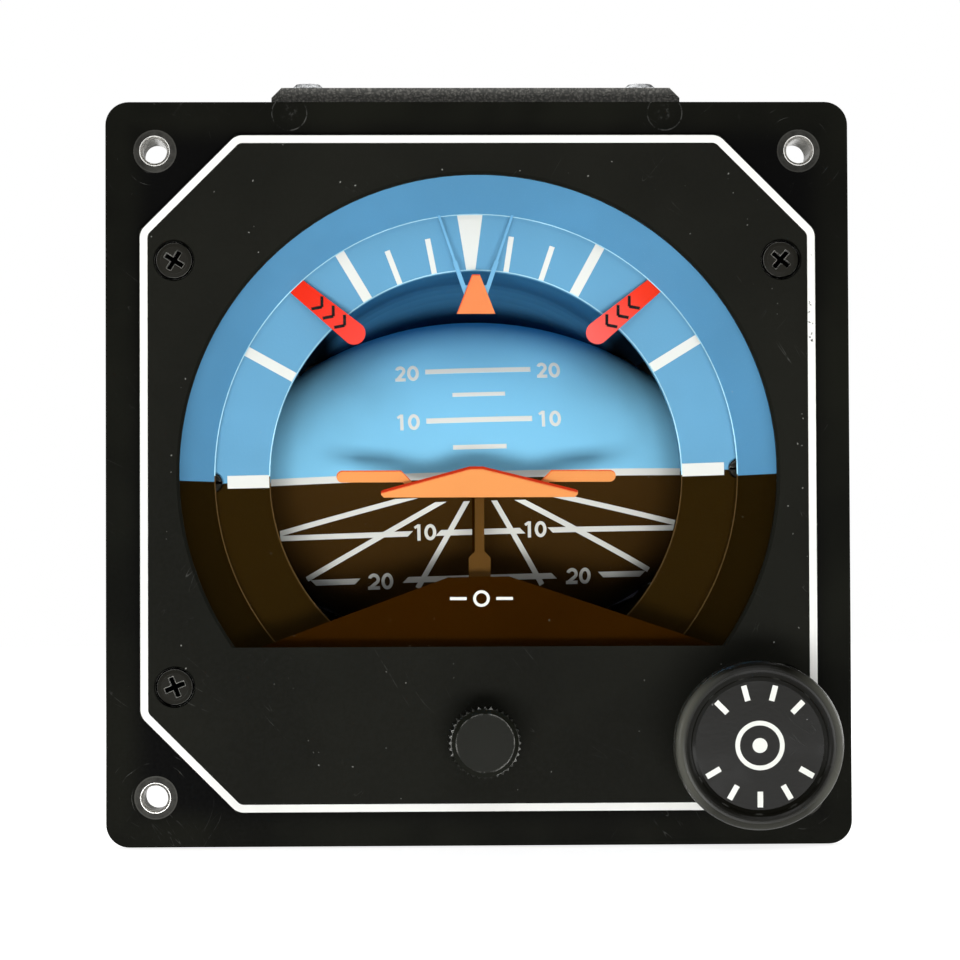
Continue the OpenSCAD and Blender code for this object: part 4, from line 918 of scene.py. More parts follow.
def flat_bar(
    length: float, width: float, taper: float = 1.0, cuts: int = 0, slants: tuple[float, float] = (0.0, 0.0)
) -> Object:
    """Models a flat bar along X round the origin.

    Args:
        length: Its length in metres.
        width: Its width in metres, at its left end if it is tapered.
        taper: Width of its right end as a share of the left end's.
        cuts: Number of cuts along its length.
        slants: How far the upper corner stands right of the lower one at its left and right end, in metres.

    Returns:
        The new bar.
    """
    deselect()
    bpy.ops.mesh.primitive_plane_add(size=1.0)
    bar = bpy.context.object
    with editing(bar):
        bpy.ops.transform.resize(value=(length, width, 1.0))
    if taper != 1.0:
        with picked(bar, "VERT", lambda spot: spot.x > 0):
            bpy.ops.transform.resize(value=(1.0, taper, 1.0))
    for side, slant in zip((-1, 1), slants):
        for up in (-1, 1) if slant else ():
            with picked(bar, "VERT", lambda spot: spot.x * side > 0 and spot.y * up > 0):
                bpy.ops.transform.translate(value=(up * slant / 2, 0.0, 0.0))
    if cuts:
        with picked(bar, "EDGE", lambda spot: abs(spot.x) < length / 4):
            bpy.ops.mesh.subdivide(number_cuts=cuts)
    return bar


def flat_ring(radius: float, width: float, sides: int = 48) -> Object:
    """Models a flat ring round the origin, or a disc if its width is its radius.

    Args:
        radius: Its outer radius in metres.
        width: The width of its band in metres.
        sides: Number of its sides.

    Returns:
        The new ring.
    """
    deselect()
    bpy.ops.mesh.primitive_circle_add(vertices=sides, radius=radius, fill_type="NGON")
    ring = bpy.context.object
    if width < radius:
        with editing(ring):
            bpy.ops.mesh.inset(thickness=width, use_even_offset=True)
            bpy.ops.mesh.delete(type="FACE")
    return ring


def turned_flat(piece: Object, degrees: float) -> Object:
    """Turns a flat piece's mesh about the origin, counter-clockwise as seen from above.

    Args:
        piece: The piece.
        degrees: The turn.

    Returns:
        The same piece.
    """
    with editing(piece):
        bpy.ops.transform.rotate(
            value=-math.radians(degrees), orient_axis="Z", center_override=(0.0, 0.0, 0.0)
        )
    return piece


def slid(piece: Object, x: float, y: float) -> Object:
    """Moves a flat piece's mesh across, in metres.

    Args:
        piece: The piece.
        x: How far it goes to the right.
        y: How far it goes up.

    Returns:
        The same piece.
    """
    with editing(piece):
        bpy.ops.transform.translate(value=(x, y, 0.0))
    return piece


def joined(name: str, pieces: list[Object]) -> Object:
    """Joins pieces into one with a new name.

    Args:
        name: The new name.
        pieces: The pieces, of which the first takes in the others.

    Returns:
        The one piece.
    """
    focus(pieces[0])
    for piece in pieces[1:]:
        piece.select_set(True)
    bpy.ops.object.join()
    pieces[0].name = name
    pieces[0].data.name = name
    return pieces[0]


@dataclass
class Numeral:
    """A plain 10 or 20 in round strokes, with its sizes in metres.

    Attributes:
        width: The number's width.
        height: Its height.
        stroke: Width of its strokes.
        zero_w: Width of the 0 as a share of the height.
        gap: Space between the 2 and the 0 as a share of the height.
        stem_in: Place of the 1's stem from the left, as a share of the height.
        flag: Length, sideways place and height of the 1's flag, as shares of the height.
        flag_w: Width of the flag as a share of a stroke's.
        flag_turn: Slope of the flag, in degrees.
        bow: Where the 2's bow starts and ends, in degrees.
        foot_in: Where its slanting stroke ends from the left, as a share of a stroke's width.
    """

    width: float
    height: float
    stroke: float
    zero_w: float = 0.74
    gap: float = 0.1
    stem_in: float = 0.3
    flag: tuple[float, float, float] = (0.32, -0.13, 0.37)
    flag_w: float = 0.8
    flag_turn: float = 32.0
    bow: tuple[float, float] = (-38.0, 165.0)
    foot_in: float = 0.6

    def build(self, tens: int) -> Object:
        """Models the number flat round the origin.

        Args:
            tens: Its first digit, 1 or 2.

        Returns:
            The number.
        """
        zero_w = self.zero_w * self.height
        zero = slid(self.zero(zero_w), (self.width - zero_w) / 2, 0.0)
        if tens == 1:
            first = slid(self.one(), -self.width / 2 + self.stem_in * self.height, 0.0)
        else:
            two_w = self.width - zero_w - self.gap * self.height
            first = slid(self.two(two_w), (two_w - self.width) / 2, 0.0)
        return joined("number", [zero, first])

    def zero(self, width: float) -> Object:
        """Models an upright oval 0.

        Args:
            width: Its width in metres.

        Returns:
            The 0.
        """
        deselect()
        bpy.ops.mesh.primitive_circle_add(vertices=40, radius=0.5, fill_type="NGON")
        zero = bpy.context.object
        with editing(zero):
            bpy.ops.transform.resize(value=(width, self.height, 1.0), center_override=(0.0, 0.0, 0.0))
            bpy.ops.mesh.inset(thickness=self.stroke, use_even_offset=True)
            bpy.ops.mesh.delete(type="FACE")
        return zero

    def one(self) -> Object:
        """Models a 1 with a short slanting flag.

        Returns:
            The 1.
        """
        length, x, y = (share * self.height for share in self.flag)
        stem = turned_flat(flat_bar(self.height, self.stroke), 90)
        flag = turned_flat(flat_bar(length, self.flag_w * self.stroke), self.flag_turn)
        return joined("one", [stem, slid(flag, x, y)])

    def two(self, width: float) -> Object:
        """Models a 2 from a bow, a slanting stroke and a base.

        Args:
            width: Its width in metres.

        Returns:
            The 2.
        """
        bow_start, bow_end = (math.radians(angle) for angle in self.bow)
        radius = width / 2
        bow = flat_ring(radius, self.stroke, 40)
        with picked(bow, "FACE", lambda spot: not bow_start < math.atan2(spot.y, spot.x) < bow_end):
            bpy.ops.mesh.delete(type="FACE")
        centre_y = self.height / 2 - radius
        slid(bow, 0.0, centre_y)
        reach = radius - self.stroke / 2
        bow_foot = bow_start + math.radians(2)
        start = Vector((reach * math.cos(bow_foot), centre_y + reach * math.sin(bow_foot)))
        foot = Vector((self.foot_in * self.stroke - radius, (self.stroke - self.height) / 2))
        run = foot - start
        slant = turned_flat(flat_bar(run.length, self.stroke), math.degrees(math.atan2(run.y, run.x)))
        slid(slant, (start.x + foot.x) / 2, (start.y + foot.y) / 2)
        base = slid(flat_bar(width, self.stroke), 0.0, (self.stroke - self.height) / 2)
        return joined("two", [bow, slant, base])


def apply_modifier(piece: Object, kind: str, **settings) -> None:
    """Adds a modifier with its settings and applies it.

    Args:
        piece: The piece.
        kind: The modifier's type.
        **settings: Its settings by name.
    """
    focus(piece)
    bpy.ops.object.modifier_add(type=kind)
    modifier = piece.modifiers[-1]
    for key, value in settings.items():
        setattr(modifier, key, value)
    bpy.ops.object.modifier_apply(modifier=modifier.name)


def thicken(piece: Object, film: float = FILM, offset: float = 1.0) -> None:
    """Gives a flat marking the thickness of its paint, in metres."""
    apply_modifier(piece, "SOLIDIFY", thickness=film, offset=offset)


def printed_on(piece: Object, node: str) -> None:
    """Lays a flat marking onto the surface behind it, as a thin film of paint.

    Args:
        piece: The marking, in front of the surface and facing the viewer.
        node: The CAD node that carries it.
    """
    apply_modifier(
        piece, "SHRINKWRAP", target=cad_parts[node], wrap_method="PROJECT", use_project_x=False,
        use_project_y=True, use_project_z=False, use_positive_direction=True,
        use_negative_direction=False, offset=FILM,
    )
    thicken(piece)


def finish_piece(piece: Object, body: str, material: Material) -> None:
    """Gives a piece its material, lets it ride on a body, and reports it.

    Args:
        piece: The piece.
        body: The body that it rides on.
        material: Its material.
    """
    piece.data.materials.clear()
    piece.data.materials.append(material)
    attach(piece, body)
    LOG.info("%s: %d faces, on %s", piece.name, len(piece.data.polygons), body)


def dress(finish: Finish, *nodes: str) -> None:
    """Gives CAD nodes one finish.

    Args:
        finish: The finish.
        *nodes: Names of the nodes.
    """
    material = finish.material()
    for name in nodes:
        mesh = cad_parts[name].data
        mesh.materials.clear()
        mesh.materials.append(material)
        LOG.info("%s: %s", name, material.name)


def front_of(node: str) -> float:
    """Returns the depth of a node's front face, in metres."""
    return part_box(node)[0].y


def on_face(node: str, x: float, z: float) -> Vector:
    """Returns a place just in front of a node's front face, from its x and z in mm."""
    return Vector((x * MM, front_of(node) - FILM, z * MM))


def banked(x: float, z: float, y: float) -> Vector:
    """Returns the place of a point that is given on the banked dial, in mm, at depth y in metres."""
    turned = Matrix.Rotation(-math.radians(BANK), 3, "Y") @ Vector((x * MM, 0.0, z * MM))
    return Vector((turned.x, y, turned.z))


WHITE_PRINT = Paint("white_print", (0.86, 0.87, 0.81, 1.0), roughness=0.5, tone=0.04).material()
BLACK_PRINT = Paint("black_print", (0.012, 0.012, 0.012, 1.0), roughness=0.5, tone=0.1).material()
# Painted highlight of the lit inner edges: light blue above the horizon, tan below.
EDGE_HIGHLIGHT_PAINT = HorizonPaint(
    "edge_highlight_paint", (0.5, 0.86, 1.0, 1.0), ground=(0.085, 0.048, 0.014, 1.0), tone=0.25, roughness=0.5, dust=0.2
).material()


def edge_highlight_line(name: str, body: str, radius: float, y: float, low: float) -> None:
    """Adds a painted highlight: a thin bright line along the inner edge of a ring, where the edge catches
    light.

    Args:
        name: The line's name.
        body: The body that it rides on.
        radius: Its outer radius in mm.
        y: Its depth in metres.
        low: Height below which it is left out, in mm.
    """
    rim = flat_ring(radius * MM, EDGE_HIGHLIGHT_W, 128)
    with picked(rim, "FACE", lambda spot: spot.y < low * MM):
        bpy.ops.mesh.delete(type="FACE")
    settle(rim, Vector((0.0, y, 0.0)))
    thicken(rim, 2 * FILM, offset=0.0)
    rim.name = name
    finish_piece(rim, body, EDGE_HIGHLIGHT_PAINT)


@dataclass
class Bezel:
    """The flange, the face plate with its border line, and what holds them.

    Attributes:
        border_half: Half width of the border line's outer edge, in mm.
        border_w: Width of the border line, in mm.
        corner_cut: Corner cut of the border line, in mm.
        corner_round: Size of the rounding of its corners, in mm.
        slot_in: How far behind a screw's front the painted shade of its slot begins, in mm.
    """

    border_half: float = 46.42
    border_w: float = 1.05
    corner_cut: float = 13.2
    corner_round: float = 0.8
    slot_in: float = 0.1

    def build(self) -> None:
        """Dresses the nodes and paints the border."""
        dress(FlangePaint("flange_black", (0.0009, 0.0009, 0.0008, 1.0), roughness=0.5, shine=0.025,
                          tone=0.35, dust=0.5, wear=0.2, scuffs=0.1), "bezel_flange")
        dress(Paint("face_black", (0.0088, 0.009, 0.0066, 1.0), roughness=0.6, tone=0.12, dust=0.35,
                    wear=0.25, scuffs=0.12), "face_plate")
        for node in ("face_screws", "ring_screws"):
            dress(SlotShadedScrewPaint(node + "_black", (0.013, 0.0125, 0.0095, 1.0), shine=0.05, dust=0.9,
                             wear=0.7, wear_width=0.00012, slot_y=front_of(node) + self.slot_in * MM), node)
        dress(Metal("insert_steel", (0.72, 0.71, 0.68, 1.0), roughness=0.25), "mounting_inserts")
        self.border()

    def border(self) -> None:
        """Paints the white line round the edge of the face plate."""
        deselect()
        bpy.ops.mesh.primitive_plane_add(size=2 * self.border_half * MM)
        line = bpy.context.object
        for size, segments in ((self.corner_cut, 1), (self.corner_round, 4)):
            with editing(line):
                bpy.ops.mesh.bevel(offset=size * MM, affect="VERTICES", segments=segments)
        with editing(line):
            bpy.ops.mesh.inset(thickness=self.border_w * MM, use_even_offset=True)
            bpy.ops.mesh.delete(type="FACE")
        thicken(settle(line, on_face("face_plate", 0.0, 0.0)))
        line.name = "border_line"
        worn = ChippedPaint("border_white", (0.9, 0.9, 0.86, 1.0), bare=(0.1, 0.1, 0.09, 1.0), tone=0.03,
                            wear=0.3, wear_width=0.0001)
        finish_piece(line, "case", worn.material())


@dataclass
class Dial:
    """The fixed surround, mask, glass and bank index.

    Attributes:
        split_z: Height of the surround's horizon, in mm.
        split_tilt: Slope of that horizon, in degrees.
        rim_r: Outer radius of the painted highlight along the surround's inner edge, in mm.
        rim_y: Depth of that line, in mm.
        rim_low: Height at which the mask hides it, in mm.
        mark_x: Sideways place of the plain mark on the mask, in mm.
        mark_z: Its height, in mm.
        mark_r: Radius of its ring, in mm.
        mark_bar: Length of each of its two bars, in mm.
        mark_reach: Distance of a bar's middle from the ring's, in mm.
        mark_ring_w: Width of its ring's line, in mm.
        mark_bar_w: Width of its bars, in mm.
    """

    split_z: float = -0.5
    split_tilt: float = 0.5
    rim_r: float = 36.68
    rim_y: float = 9.93
    rim_low: float = -24.2
    mark_x: float = 0.4
    mark_z: float = -17.3
    mark_r: float = 1.15
    mark_bar: float = 2.3
    mark_reach: float = 3.2
    mark_ring_w: float = 0.4
    mark_bar_w: float = 0.42

    def build(self) -> None:
        """Dresses the nodes and prints the mark."""
        matt = {"roughness": 0.6, "shine": 0.0}
        dress(HorizonPaint("surround_paint", (0.123, 0.357, 0.59, 1.0), ground=(0.018, 0.0095, 0.0012, 1.0),
                           tone=0.05, dust=0.06, line_z=self.split_z * MM, tilt=self.split_tilt, **matt),
              "dial_surround")
        edge_highlight_line("surround_edge_highlight", "case", self.rim_r, self.rim_y * MM, self.rim_low)
        dress(Paint("mask_brown", (0.025, 0.0079, 0.0002, 1.0), tone=0.1, dust=0.12, **matt),
              "lower_mask", "command_carriage")
        dress(Paint("post_brown", (0.108, 0.052, 0.012, 1.0), tone=0.08, **matt), "airplane_post")
        dress(Paint("index_blue", (0.2, 0.5, 0.76, 1.0), tone=0.1, **matt), "bank_index_bracket")
        dress(CoatedGlass("window_glass", grey(1.0)), "window_glass")
        dress(Moulded("gasket_rubber", grey(0.02), roughness=0.7, shine=0.2), "window_gasket")
        self.mask_mark()

    def mask_mark(self) -> None:
        """Prints a plain ring between two bars on the mask."""
        spot = on_face("lower_mask", self.mark_x, self.mark_z)
        parts = [settle(flat_ring(self.mark_r * MM, self.mark_ring_w * MM), spot)]
        for side in (-1, 1):
            spot = on_face("lower_mask", self.mark_x + side * self.mark_reach, self.mark_z)
            parts.append(settle(flat_bar(self.mark_bar * MM, self.mark_bar_w * MM), spot))
        mark = joined("mask_mark", parts)
        thicken(mark)
        finish_piece(mark, "case", WHITE_PRINT)


@dataclass
class BankRing:
    """The roll ring with its white bank marks.

    Attributes:
        split_z: Height of the ring's horizon, in mm.
        rim_r: Outer radius of the painted highlight along the ring's inner edge, in mm.
        rim_in: Depth of that line behind the ring's front, in mm.
        inner: Inner radius of the marks, in mm.
        marks: Angles on one side, outer radius and width of each kind of mark, in degrees and mm.
        top: Angle, outer radius, inner width and taper of the mark at the top.
        print_in: Distance in front of the ring from which the marks are laid on it, in mm.
    """

    split_z: float = -0.15
    rim_r: float = 29.08
    rim_in: float = 1.5
    inner: float = 28.98
    marks: tuple = (((20, 10), 34.0, 0.76), ((60, 30), 36.9, 1.4), ((90,), 34.9, 1.8))
    top: tuple = (0.2, 36.9, 1.28, 2.85)
    print_in: float = 2.0

    def build(self) -> None:
        """Dresses the ring and paints its marks."""
        dress(RingAndShadedHoodPaint("ring_paint", (0.155, 0.405, 0.62, 1.0), ground=(0.024, 0.0125, 0.0018, 1.0),
                        roughness=0.6, shine=0.0, tone=0.05, dust=0.06, line_z=self.split_z * MM,
                        tilt=BANK), "roll_ring")
        rim_y = front_of("roll_ring") + self.rim_in * MM
        edge_highlight_line("ring_edge_highlight", "roll_gimbal", self.rim_r, rim_y, -self.rim_r)
        parts = []
        for angles, outer, width in self.marks:
            for angle in (*(-a for a in angles), *reversed(angles)):
                parts.append(self.mark(angle, outer, width))
        parts.append(self.mark(*self.top))
        marks = joined("bank_marks", parts)
        printed_on(marks, "roll_ring")
        finish_piece(marks, "roll_gimbal", WHITE_PRINT)

    def mark(self, angle: float, outer: float, width: float, taper: float = 1.0) -> Object:
        """Models one mark on a radius of the dial.

        Args:
            angle: Its angle from the top, clockwise, in degrees.
            outer: Its outer radius in mm.
            width: Its width at its inner end in mm.
            taper: Width of its outer end as a share of the inner end's.

        Returns:
            The mark, facing the viewer.
        """
        middle = (self.inner + outer) / 2
        heading = math.radians(angle)
        bar = flat_bar((outer - self.inner) * MM, width * MM, taper, cuts=5)
        y = front_of("roll_ring") - self.print_in * MM
        spot = banked(middle * math.sin(heading), middle * math.cos(heading), y)
        return settle(bar, spot, 90 - angle + BANK)


@dataclass
class HorizonDrum:
    """The drum with its horizon, pitch lines, numbers and ground lines.

    Attributes:
        centre: Sideways place of the pattern at the height of the dial's centre, in mm.
        lean: How far the pattern moves sideways for each mm of height.
        horizon: Height, half length and width of the horizon line, in mm.
        sky_lines: The same of each sky line.
        near: Height, half length and width of the middle of the nearer ground line, in mm.
        near_side: Start, end and width of that line at each side.
        far: Height, half length and width of the middle of the farther ground line, in mm.
        far_side: Start, end and width of that line at each side.
        rays: Start and end of each converging ground line on the right, in mm.
        ray_w: Width of such a line, in mm.
        numbers: First digit, sideways place, height and width of each pair of numbers, in mm.
        number_h: Height of a number's digits, in mm.
        stroke: Width of their strokes, in mm.
        print_in: Distance in front of the drum from which the pattern is laid on it, in mm.
        step: Length of the pieces into which a line is cut so that it follows the drum, in mm.
    """

    centre: float = 0.72
    lean: float = 0.0187
    horizon: tuple = (0.24, 30.4, 1.0)
    sky_lines: tuple = ((4.23, 3.8, 0.64), (8.13, 7.53, 0.75), (11.83, 3.76, 0.57), (15.38, 7.55, 0.7))
    near: tuple = (-7.8, 6.0, 0.8)
    near_side: tuple = (9.95, 28.6, 0.75)
    far: tuple = (-14.3, 10.65, 0.8)
    far_side: tuple = (17.5, 23.9, 0.8)
    rays: tuple = (
        ((10.4, -2.8), (28.6, -7.1)), ((5.6, -3.44), (24.8, -13.75)), ((1.94, -3.44), (8.9, -15.5)),
    )
    ray_w: float = 0.74
    numbers: tuple = (
        (1, 10.08, 8.07, 3.24), (2, 10.16, 15.25, 3.4), (1, 7.85, -7.65, 3.14), (2, 14.2, -14.4, 3.6),
    )
    number_h: float = 2.28
    stroke: float = 0.46
    print_in: float = 2.0
    step: float = 0.8

    def build(self) -> None:
        """Dresses the drum and prints its pattern."""
        dress(HorizonPaint("drum_paint", (0.255, 0.655, 0.93, 1.0), ground=(0.05, 0.024, 0.005, 1.0),
                           roughness=0.6, shine=0.0, tone=0.05, dust=0.05, line_z=self.horizon[0] * MM,
                           tilt=BANK), "horizon_drum")
        level = (self.horizon, *self.sky_lines)
        lines = [self.line((-half, z), (half, z), width) for z, half, width in level]
        for z, half, width in (self.near, self.far):
            lines.append(self.line((-half, z), (half, z), width, (1.0, 1.0), (-1.0, 1.0)))
        flat, upright = (1.0, 0.0), (0.0, 1.0)
        for side in (-1, 1):
            ends = ((self.near, self.near_side, upright), (self.far, self.far_side, (side, 1.0)))
            for (z, *_), (start, end, width), cut in ends:
                lines.append(self.line((side * start, z), (side * end, z), width, (-side, 1.0), cut))
            for (start, end), cut in zip(self.rays, (upright, None, None)):
                start, end = ((side * x, z) for x, z in (start, end))
                lines.append(self.line(start, end, self.ray_w, flat, cut))
        for tens, x, z, width in self.numbers:
            for side in (-1, 1):
                number = Numeral(width * MM, self.number_h * MM, self.stroke * MM).build(tens)
                lines.append(settle(number, self.place(self.middle(z) + side * x, z), BANK))
        pattern = joined("drum_pattern", lines)
        printed_on(pattern, "horizon_drum")
        finish_piece(pattern, "drum", WHITE_PRINT)

    def place(self, x: float, z: float) -> Vector:
        """Returns a place in front of the drum, from its x and z on the banked dial in mm."""
        return banked(x, z, front_of("horizon_drum") - self.print_in * MM)

    def middle(self, z: float) -> float:
        """Returns the sideways place of the pattern's middle at a height, in mm."""
        return self.centre + self.lean * z

    def line(
        self, start: Place, end: Place, width: float,
        start_cut: Place | None = None, end_cut: Place | None = None,
    ) -> Object:
        """Models one line of the pattern.

        Args:
            start: Its first end, in mm from the pattern's centre.
            end: Its other end.
            width: Its width in mm.
            start_cut: Direction in which its first end is cut, or square.
            end_cut: The same for its other end.

        Returns:
            The line, facing the viewer.
        """
        first, last = (Vector((self.middle(z) + x, z)) for x, z in (start, end))
        run = last - first
        middle = (first + last) / 2
        slants = tuple(self.slant(run, cut) * width * MM if cut else 0.0 for cut in (start_cut, end_cut))
        bar = flat_bar(run.length * MM, width * MM, cuts=max(2, round(run.length / self.step)), slants=slants)
        return settle(bar, self.place(middle.x, middle.y), math.degrees(math.atan2(run.y, run.x)) + BANK)

    @staticmethod
    def slant(run: Vector, cut: Place) -> float:
        """Returns how far a cut leans along a line, for each unit of the line's width."""
        return run.dot(Vector(cut)) / (run.x * cut[1] - run.y * cut[0])


@dataclass
class Signals:
    """The orange symbols and the two red warning flags.

    Attributes:
        pivot: Distance of a flag's pivot from the centre, in mm.
        turn: Turn of a flag up from the line to the centre, in degrees.
        first: Distance of the first chevron's tip from the pivot, in mm.
        pitch: Distance between chevrons, in mm.
        arm: Length of a chevron's arm, in mm.
        arm_w: Width of such an arm, in mm.
        spread: Angle between an arm and the flag, in degrees.
    """

    pivot: float = 47.0
    turn: float = 5.6
    first: float = 15.1
    pitch: float = 2.05
    arm: float = 1.5
    arm_w: float = 0.42
    spread: float = 50.0

    def build(self) -> None:
        """Dresses the nodes and prints the flags."""
        matt = {"shine": 0.0, "tone": 0.03}
        orange = UpEdgeShadePaint("signal_orange", (0.9, 0.345, 0.106, 1.0), **matt)
        dress(orange, "airplane_symbol", "command_bars")
        dress(UpEdgeShadePaint("index_orange", (0.9, 0.27, 0.095, 1.0), **matt), "bank_index")
        matt = {"roughness": 0.55, "shine": 0.0, "dust": 0.05}
        dress(FadingPaint("flag_red", (0.93, 0.034, 0.014, 1.0), pale=(1.0, 0.075, 0.055, 1.0),
                          tone=0.05, **matt), "gyro_flag")
        dress(FadingPaint("flag_red_faded", (0.93, 0.045, 0.018, 1.0), pale=(1.0, 0.15, 0.13, 1.0),
                          tone=0.08, **matt), "command_flag")
        self.chevrons("gyro_flag", -1)
        self.chevrons("command_flag", 1)

    def chevrons(self, node: str, side: int) -> None:
        """Prints three plain chevrons on a flag.

        Args:
            node: The flag's CAD node, whose body has the same name with _body.
            side: -1 for the flag on the left and 1 for the one on the right.
        """
        root = Vector((side, 1.0)).normalized() * self.pivot
        slope = math.radians(self.turn - 45)
        inward = Vector((-side * math.cos(slope), math.sin(slope)))
        heading = math.degrees(math.atan2(inward.y, inward.x))
        parts = []
        for i in range(3):
            tip = root + inward * (self.first + i * self.pitch)
            for angle in (heading + 180 - self.spread, heading + 180 + self.spread):
                along = Vector((math.cos(math.radians(angle)), math.sin(math.radians(angle))))
                middle = tip + along * self.arm / 2
                bar = flat_bar(self.arm * MM, self.arm_w * MM)
                parts.append(settle(bar, on_face(node, middle.x, middle.y), angle))
        marks = joined(node + "_chevrons", parts)
        thicken(marks)
        finish_piece(marks, node + "_body", BLACK_PRINT)


@dataclass
class Knobs:
    """The knurled adjusting knob and the pull knob with its plain marks.

    Attributes:
        rim_share: Radius at which the pull knob's rim begins, as a share of the knob's.
        face_in: Depth of its face behind its rim, in mm.
        ring_r: Radius of the ring symbol, in mm.
        ring_w: Width of its line, in mm.
        dot_r: Radius of the dot in it, in mm.
        ticks: Angles of the ticks from the top, clockwise, in degrees.
        tick_r: Radius of their row, in mm.
        tick_len: Length of a tick, in mm.
        tick_w: Its width, in mm.
        film: Thickness of the print, in metres.
    """

    rim_share: float = 0.86
    face_in: float = 0.9
    ring_r: float = 3.3
    ring_w: float = 0.62
    dot_r: float = 1.0
    ticks: tuple = (-45, -15, 15, 45, 120, 150, 180, 210, 240)
    tick_r: float = 7.2
    tick_len: float = 2.1
    tick_w: float = 0.75
    film: float = 0.00004

    def build(self) -> None:
        """Dresses the knobs and prints the pull knob's face."""
        dress(Paint("knob_black", (0.009, 0.0095, 0.0065, 1.0), roughness=0.4, shine=0.06, dust=0.5,
                    wear=0.75), "adjust_knob")
        low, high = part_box("erect_knob")
        centre = (low + high) / 2
        rim_r = self.rim_share * (high.x - centre.x)
        dress(RimHighlightPlastic("pull_knob_black", (0.0035, 0.0033, 0.002, 1.0), roughness=0.22, shine=0.2,
                             centre=(centre.x, centre.z), rim_r=rim_r), "erect_knob")
        centre.y = low.y + self.face_in * MM - self.film
        parts = [
            settle(flat_ring(self.ring_r * MM, self.ring_w * MM), centre),
            settle(flat_ring(self.dot_r * MM, self.dot_r * MM, 24), centre),
        ]
        for angle in self.ticks:
            heading = math.radians(angle)
            spot = Vector((math.sin(heading), 0.0, math.cos(heading))) * self.tick_r * MM
            parts.append(settle(flat_bar(self.tick_len * MM, self.tick_w * MM), centre + spot, 90 - angle))
        marks = joined("pull_knob_marks", parts)
        thicken(marks, self.film)
        finish_piece(marks, "erector", WHITE_PRINT)


@dataclass
class ReturnSpring:
    """The pull knob's return spring, a coil that stays as wound between the flange and the collar.

    Attributes:
        coil_r: Radius of its coil, in mm.
        wire_r: Radius of its wire, in mm.
        turns: Number of its turns.
        travel: How far the knob comes out, in mm; not used.
    """

    coil_r: float = 2.9
    wire_r: float = 0.3
    turns: int = 9
    travel: float = 6.0

    def build(self) -> None:
        """Winds the spring in the place of the stiff one."""
        low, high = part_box("erect_spring")
        middle = (low + high) / 2
        length = high.y - low.y
        rise = (length - 2 * self.wire_r * MM) / self.turns
        deselect()
        bpy.ops.mesh.primitive_circle_add(
            vertices=8, radius=self.wire_r * MM, location=(self.coil_r * MM, 0.0, 0.0),
            rotation=(FACING, 0.0, 0.0),
        )
        spring = bpy.context.object
        bpy.ops.object.transform_apply(location=True, rotation=True, scale=True)
        winding = {"axis": "Z", "angle": math.tau, "screw_offset": rise, "iterations": self.turns}
        apply_modifier(spring, "SCREW", steps=24, **winding)
        with editing(spring):
            bpy.ops.mesh.fill_holes(sides=0)
        with editing(spring):
            bpy.ops.mesh.normals_make_consistent(inside=False)
        settle(spring, Vector((middle.x, high.y - self.wire_r * MM, middle.z)))
        spring.name = "return_spring"
        finish_piece(spring, "case", Metal("spring_steel", STEEL).material())
        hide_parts("erect_spring")
        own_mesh(spring)


@dataclass
class Works:
    """The case and all that it holds behind the dial.

    Attributes:
        alloy: Nodes of bare aluminium alloy.
        steel: Nodes of bare steel.
        brass: Nodes of brass.
    """

    alloy: tuple = ("corner_brackets", "slide_guides", "frame_posts", "bearing_bulkhead", "roll_yoke",
                    "gyro_housing", "airplane_carriage")
    steel: tuple = ("surround_screws", "flag_motors", "command_motor", "roll_bearings", "case_screws",
                    "idler_pins", "roll_shaft", "drum_shaft", "pitch_trunnions", "rotor_shaft",
                    "adjust_shaft", "erect_rod", "erect_spring")
    brass: tuple = ("adjust_bushing", "erect_bushing", "slip_rings", "drum_gear", "front_idler", "rear_idler",
                    "pitch_gear", "gyro_rotor", "adjust_pinion", "command_pinion", "connector_pins")

    def build(self) -> None:
        """Dresses the nodes."""
        dress(WrinklePaint("case_wrinkle", (0.07, 0.07, 0.064, 1.0)), "case_shell", "top_cover", "rear_plate")
        dress(Metal("bare_alloy", (0.66, 0.67, 0.68, 1.0), Tooling.MILLED, 0.38), *self.alloy)
        dress(Metal("bare_steel", STEEL), *self.steel)
        dress(Metal("brass", (0.72, 0.50, 0.20, 1.0), stain=(0.25, 0.14, 0.05, 1.0)), *self.brass)
        plastic = Moulded("brush_plastic", (0.10, 0.045, 0.02, 1.0), roughness=0.5)
        dress(plastic, "brush_block", "erect_switch")
        dress(Moulded("board_green", (0.015, 0.11, 0.04, 1.0), roughness=0.3), "circuit_board")
        dress(Metal("connector_alloy", (0.42, 0.42, 0.36, 1.0), Tooling.CAST, 0.42), "rear_connector")


@dataclass(frozen=True)
class FloorFinish(Finish):
    """Pale floor, white to look at, which keeps shadows and lets the lamp below it shine through.

    Attributes:
        mirrored: Its strength in reflections.
        near: Strength of its own glow at the object.
    """

    mirrored: float = 0.5
    near: float = 0.84

    def draw(self, s: Sketch) -> None:
        """Draws its nodes.

        Args:
            s: The sketch of its material.
        """
        matt = s.add("BsdfDiffuse", {"Color": self.colour})
        away = s.add("VectorMath", {0: s.place()}, operation="LENGTH").outputs["Value"]
        path = s.add("LightPath").outputs
        seen = s.math("MAXIMUM", path["Is Camera Ray"], path["Is Transmission Ray"])
        seen = s.math("MAXIMUM", seen, s.times(path["Is Glossy Ray"], self.mirrored))
        glow = s.add("Emission", {"Strength": s.times(seen, s.span(away, 0.15, 0.8, self.near, 1.0))})
        solid = s.add("AddShader", {0: matt.outputs[0], 1: glow.outputs[0]})
        clear = s.add("BsdfTransparent")
        s.show(s.add("MixShader", {0: path["Is Shadow Ray"], 1: solid.outputs[0], 2: clear.outputs[0]}))


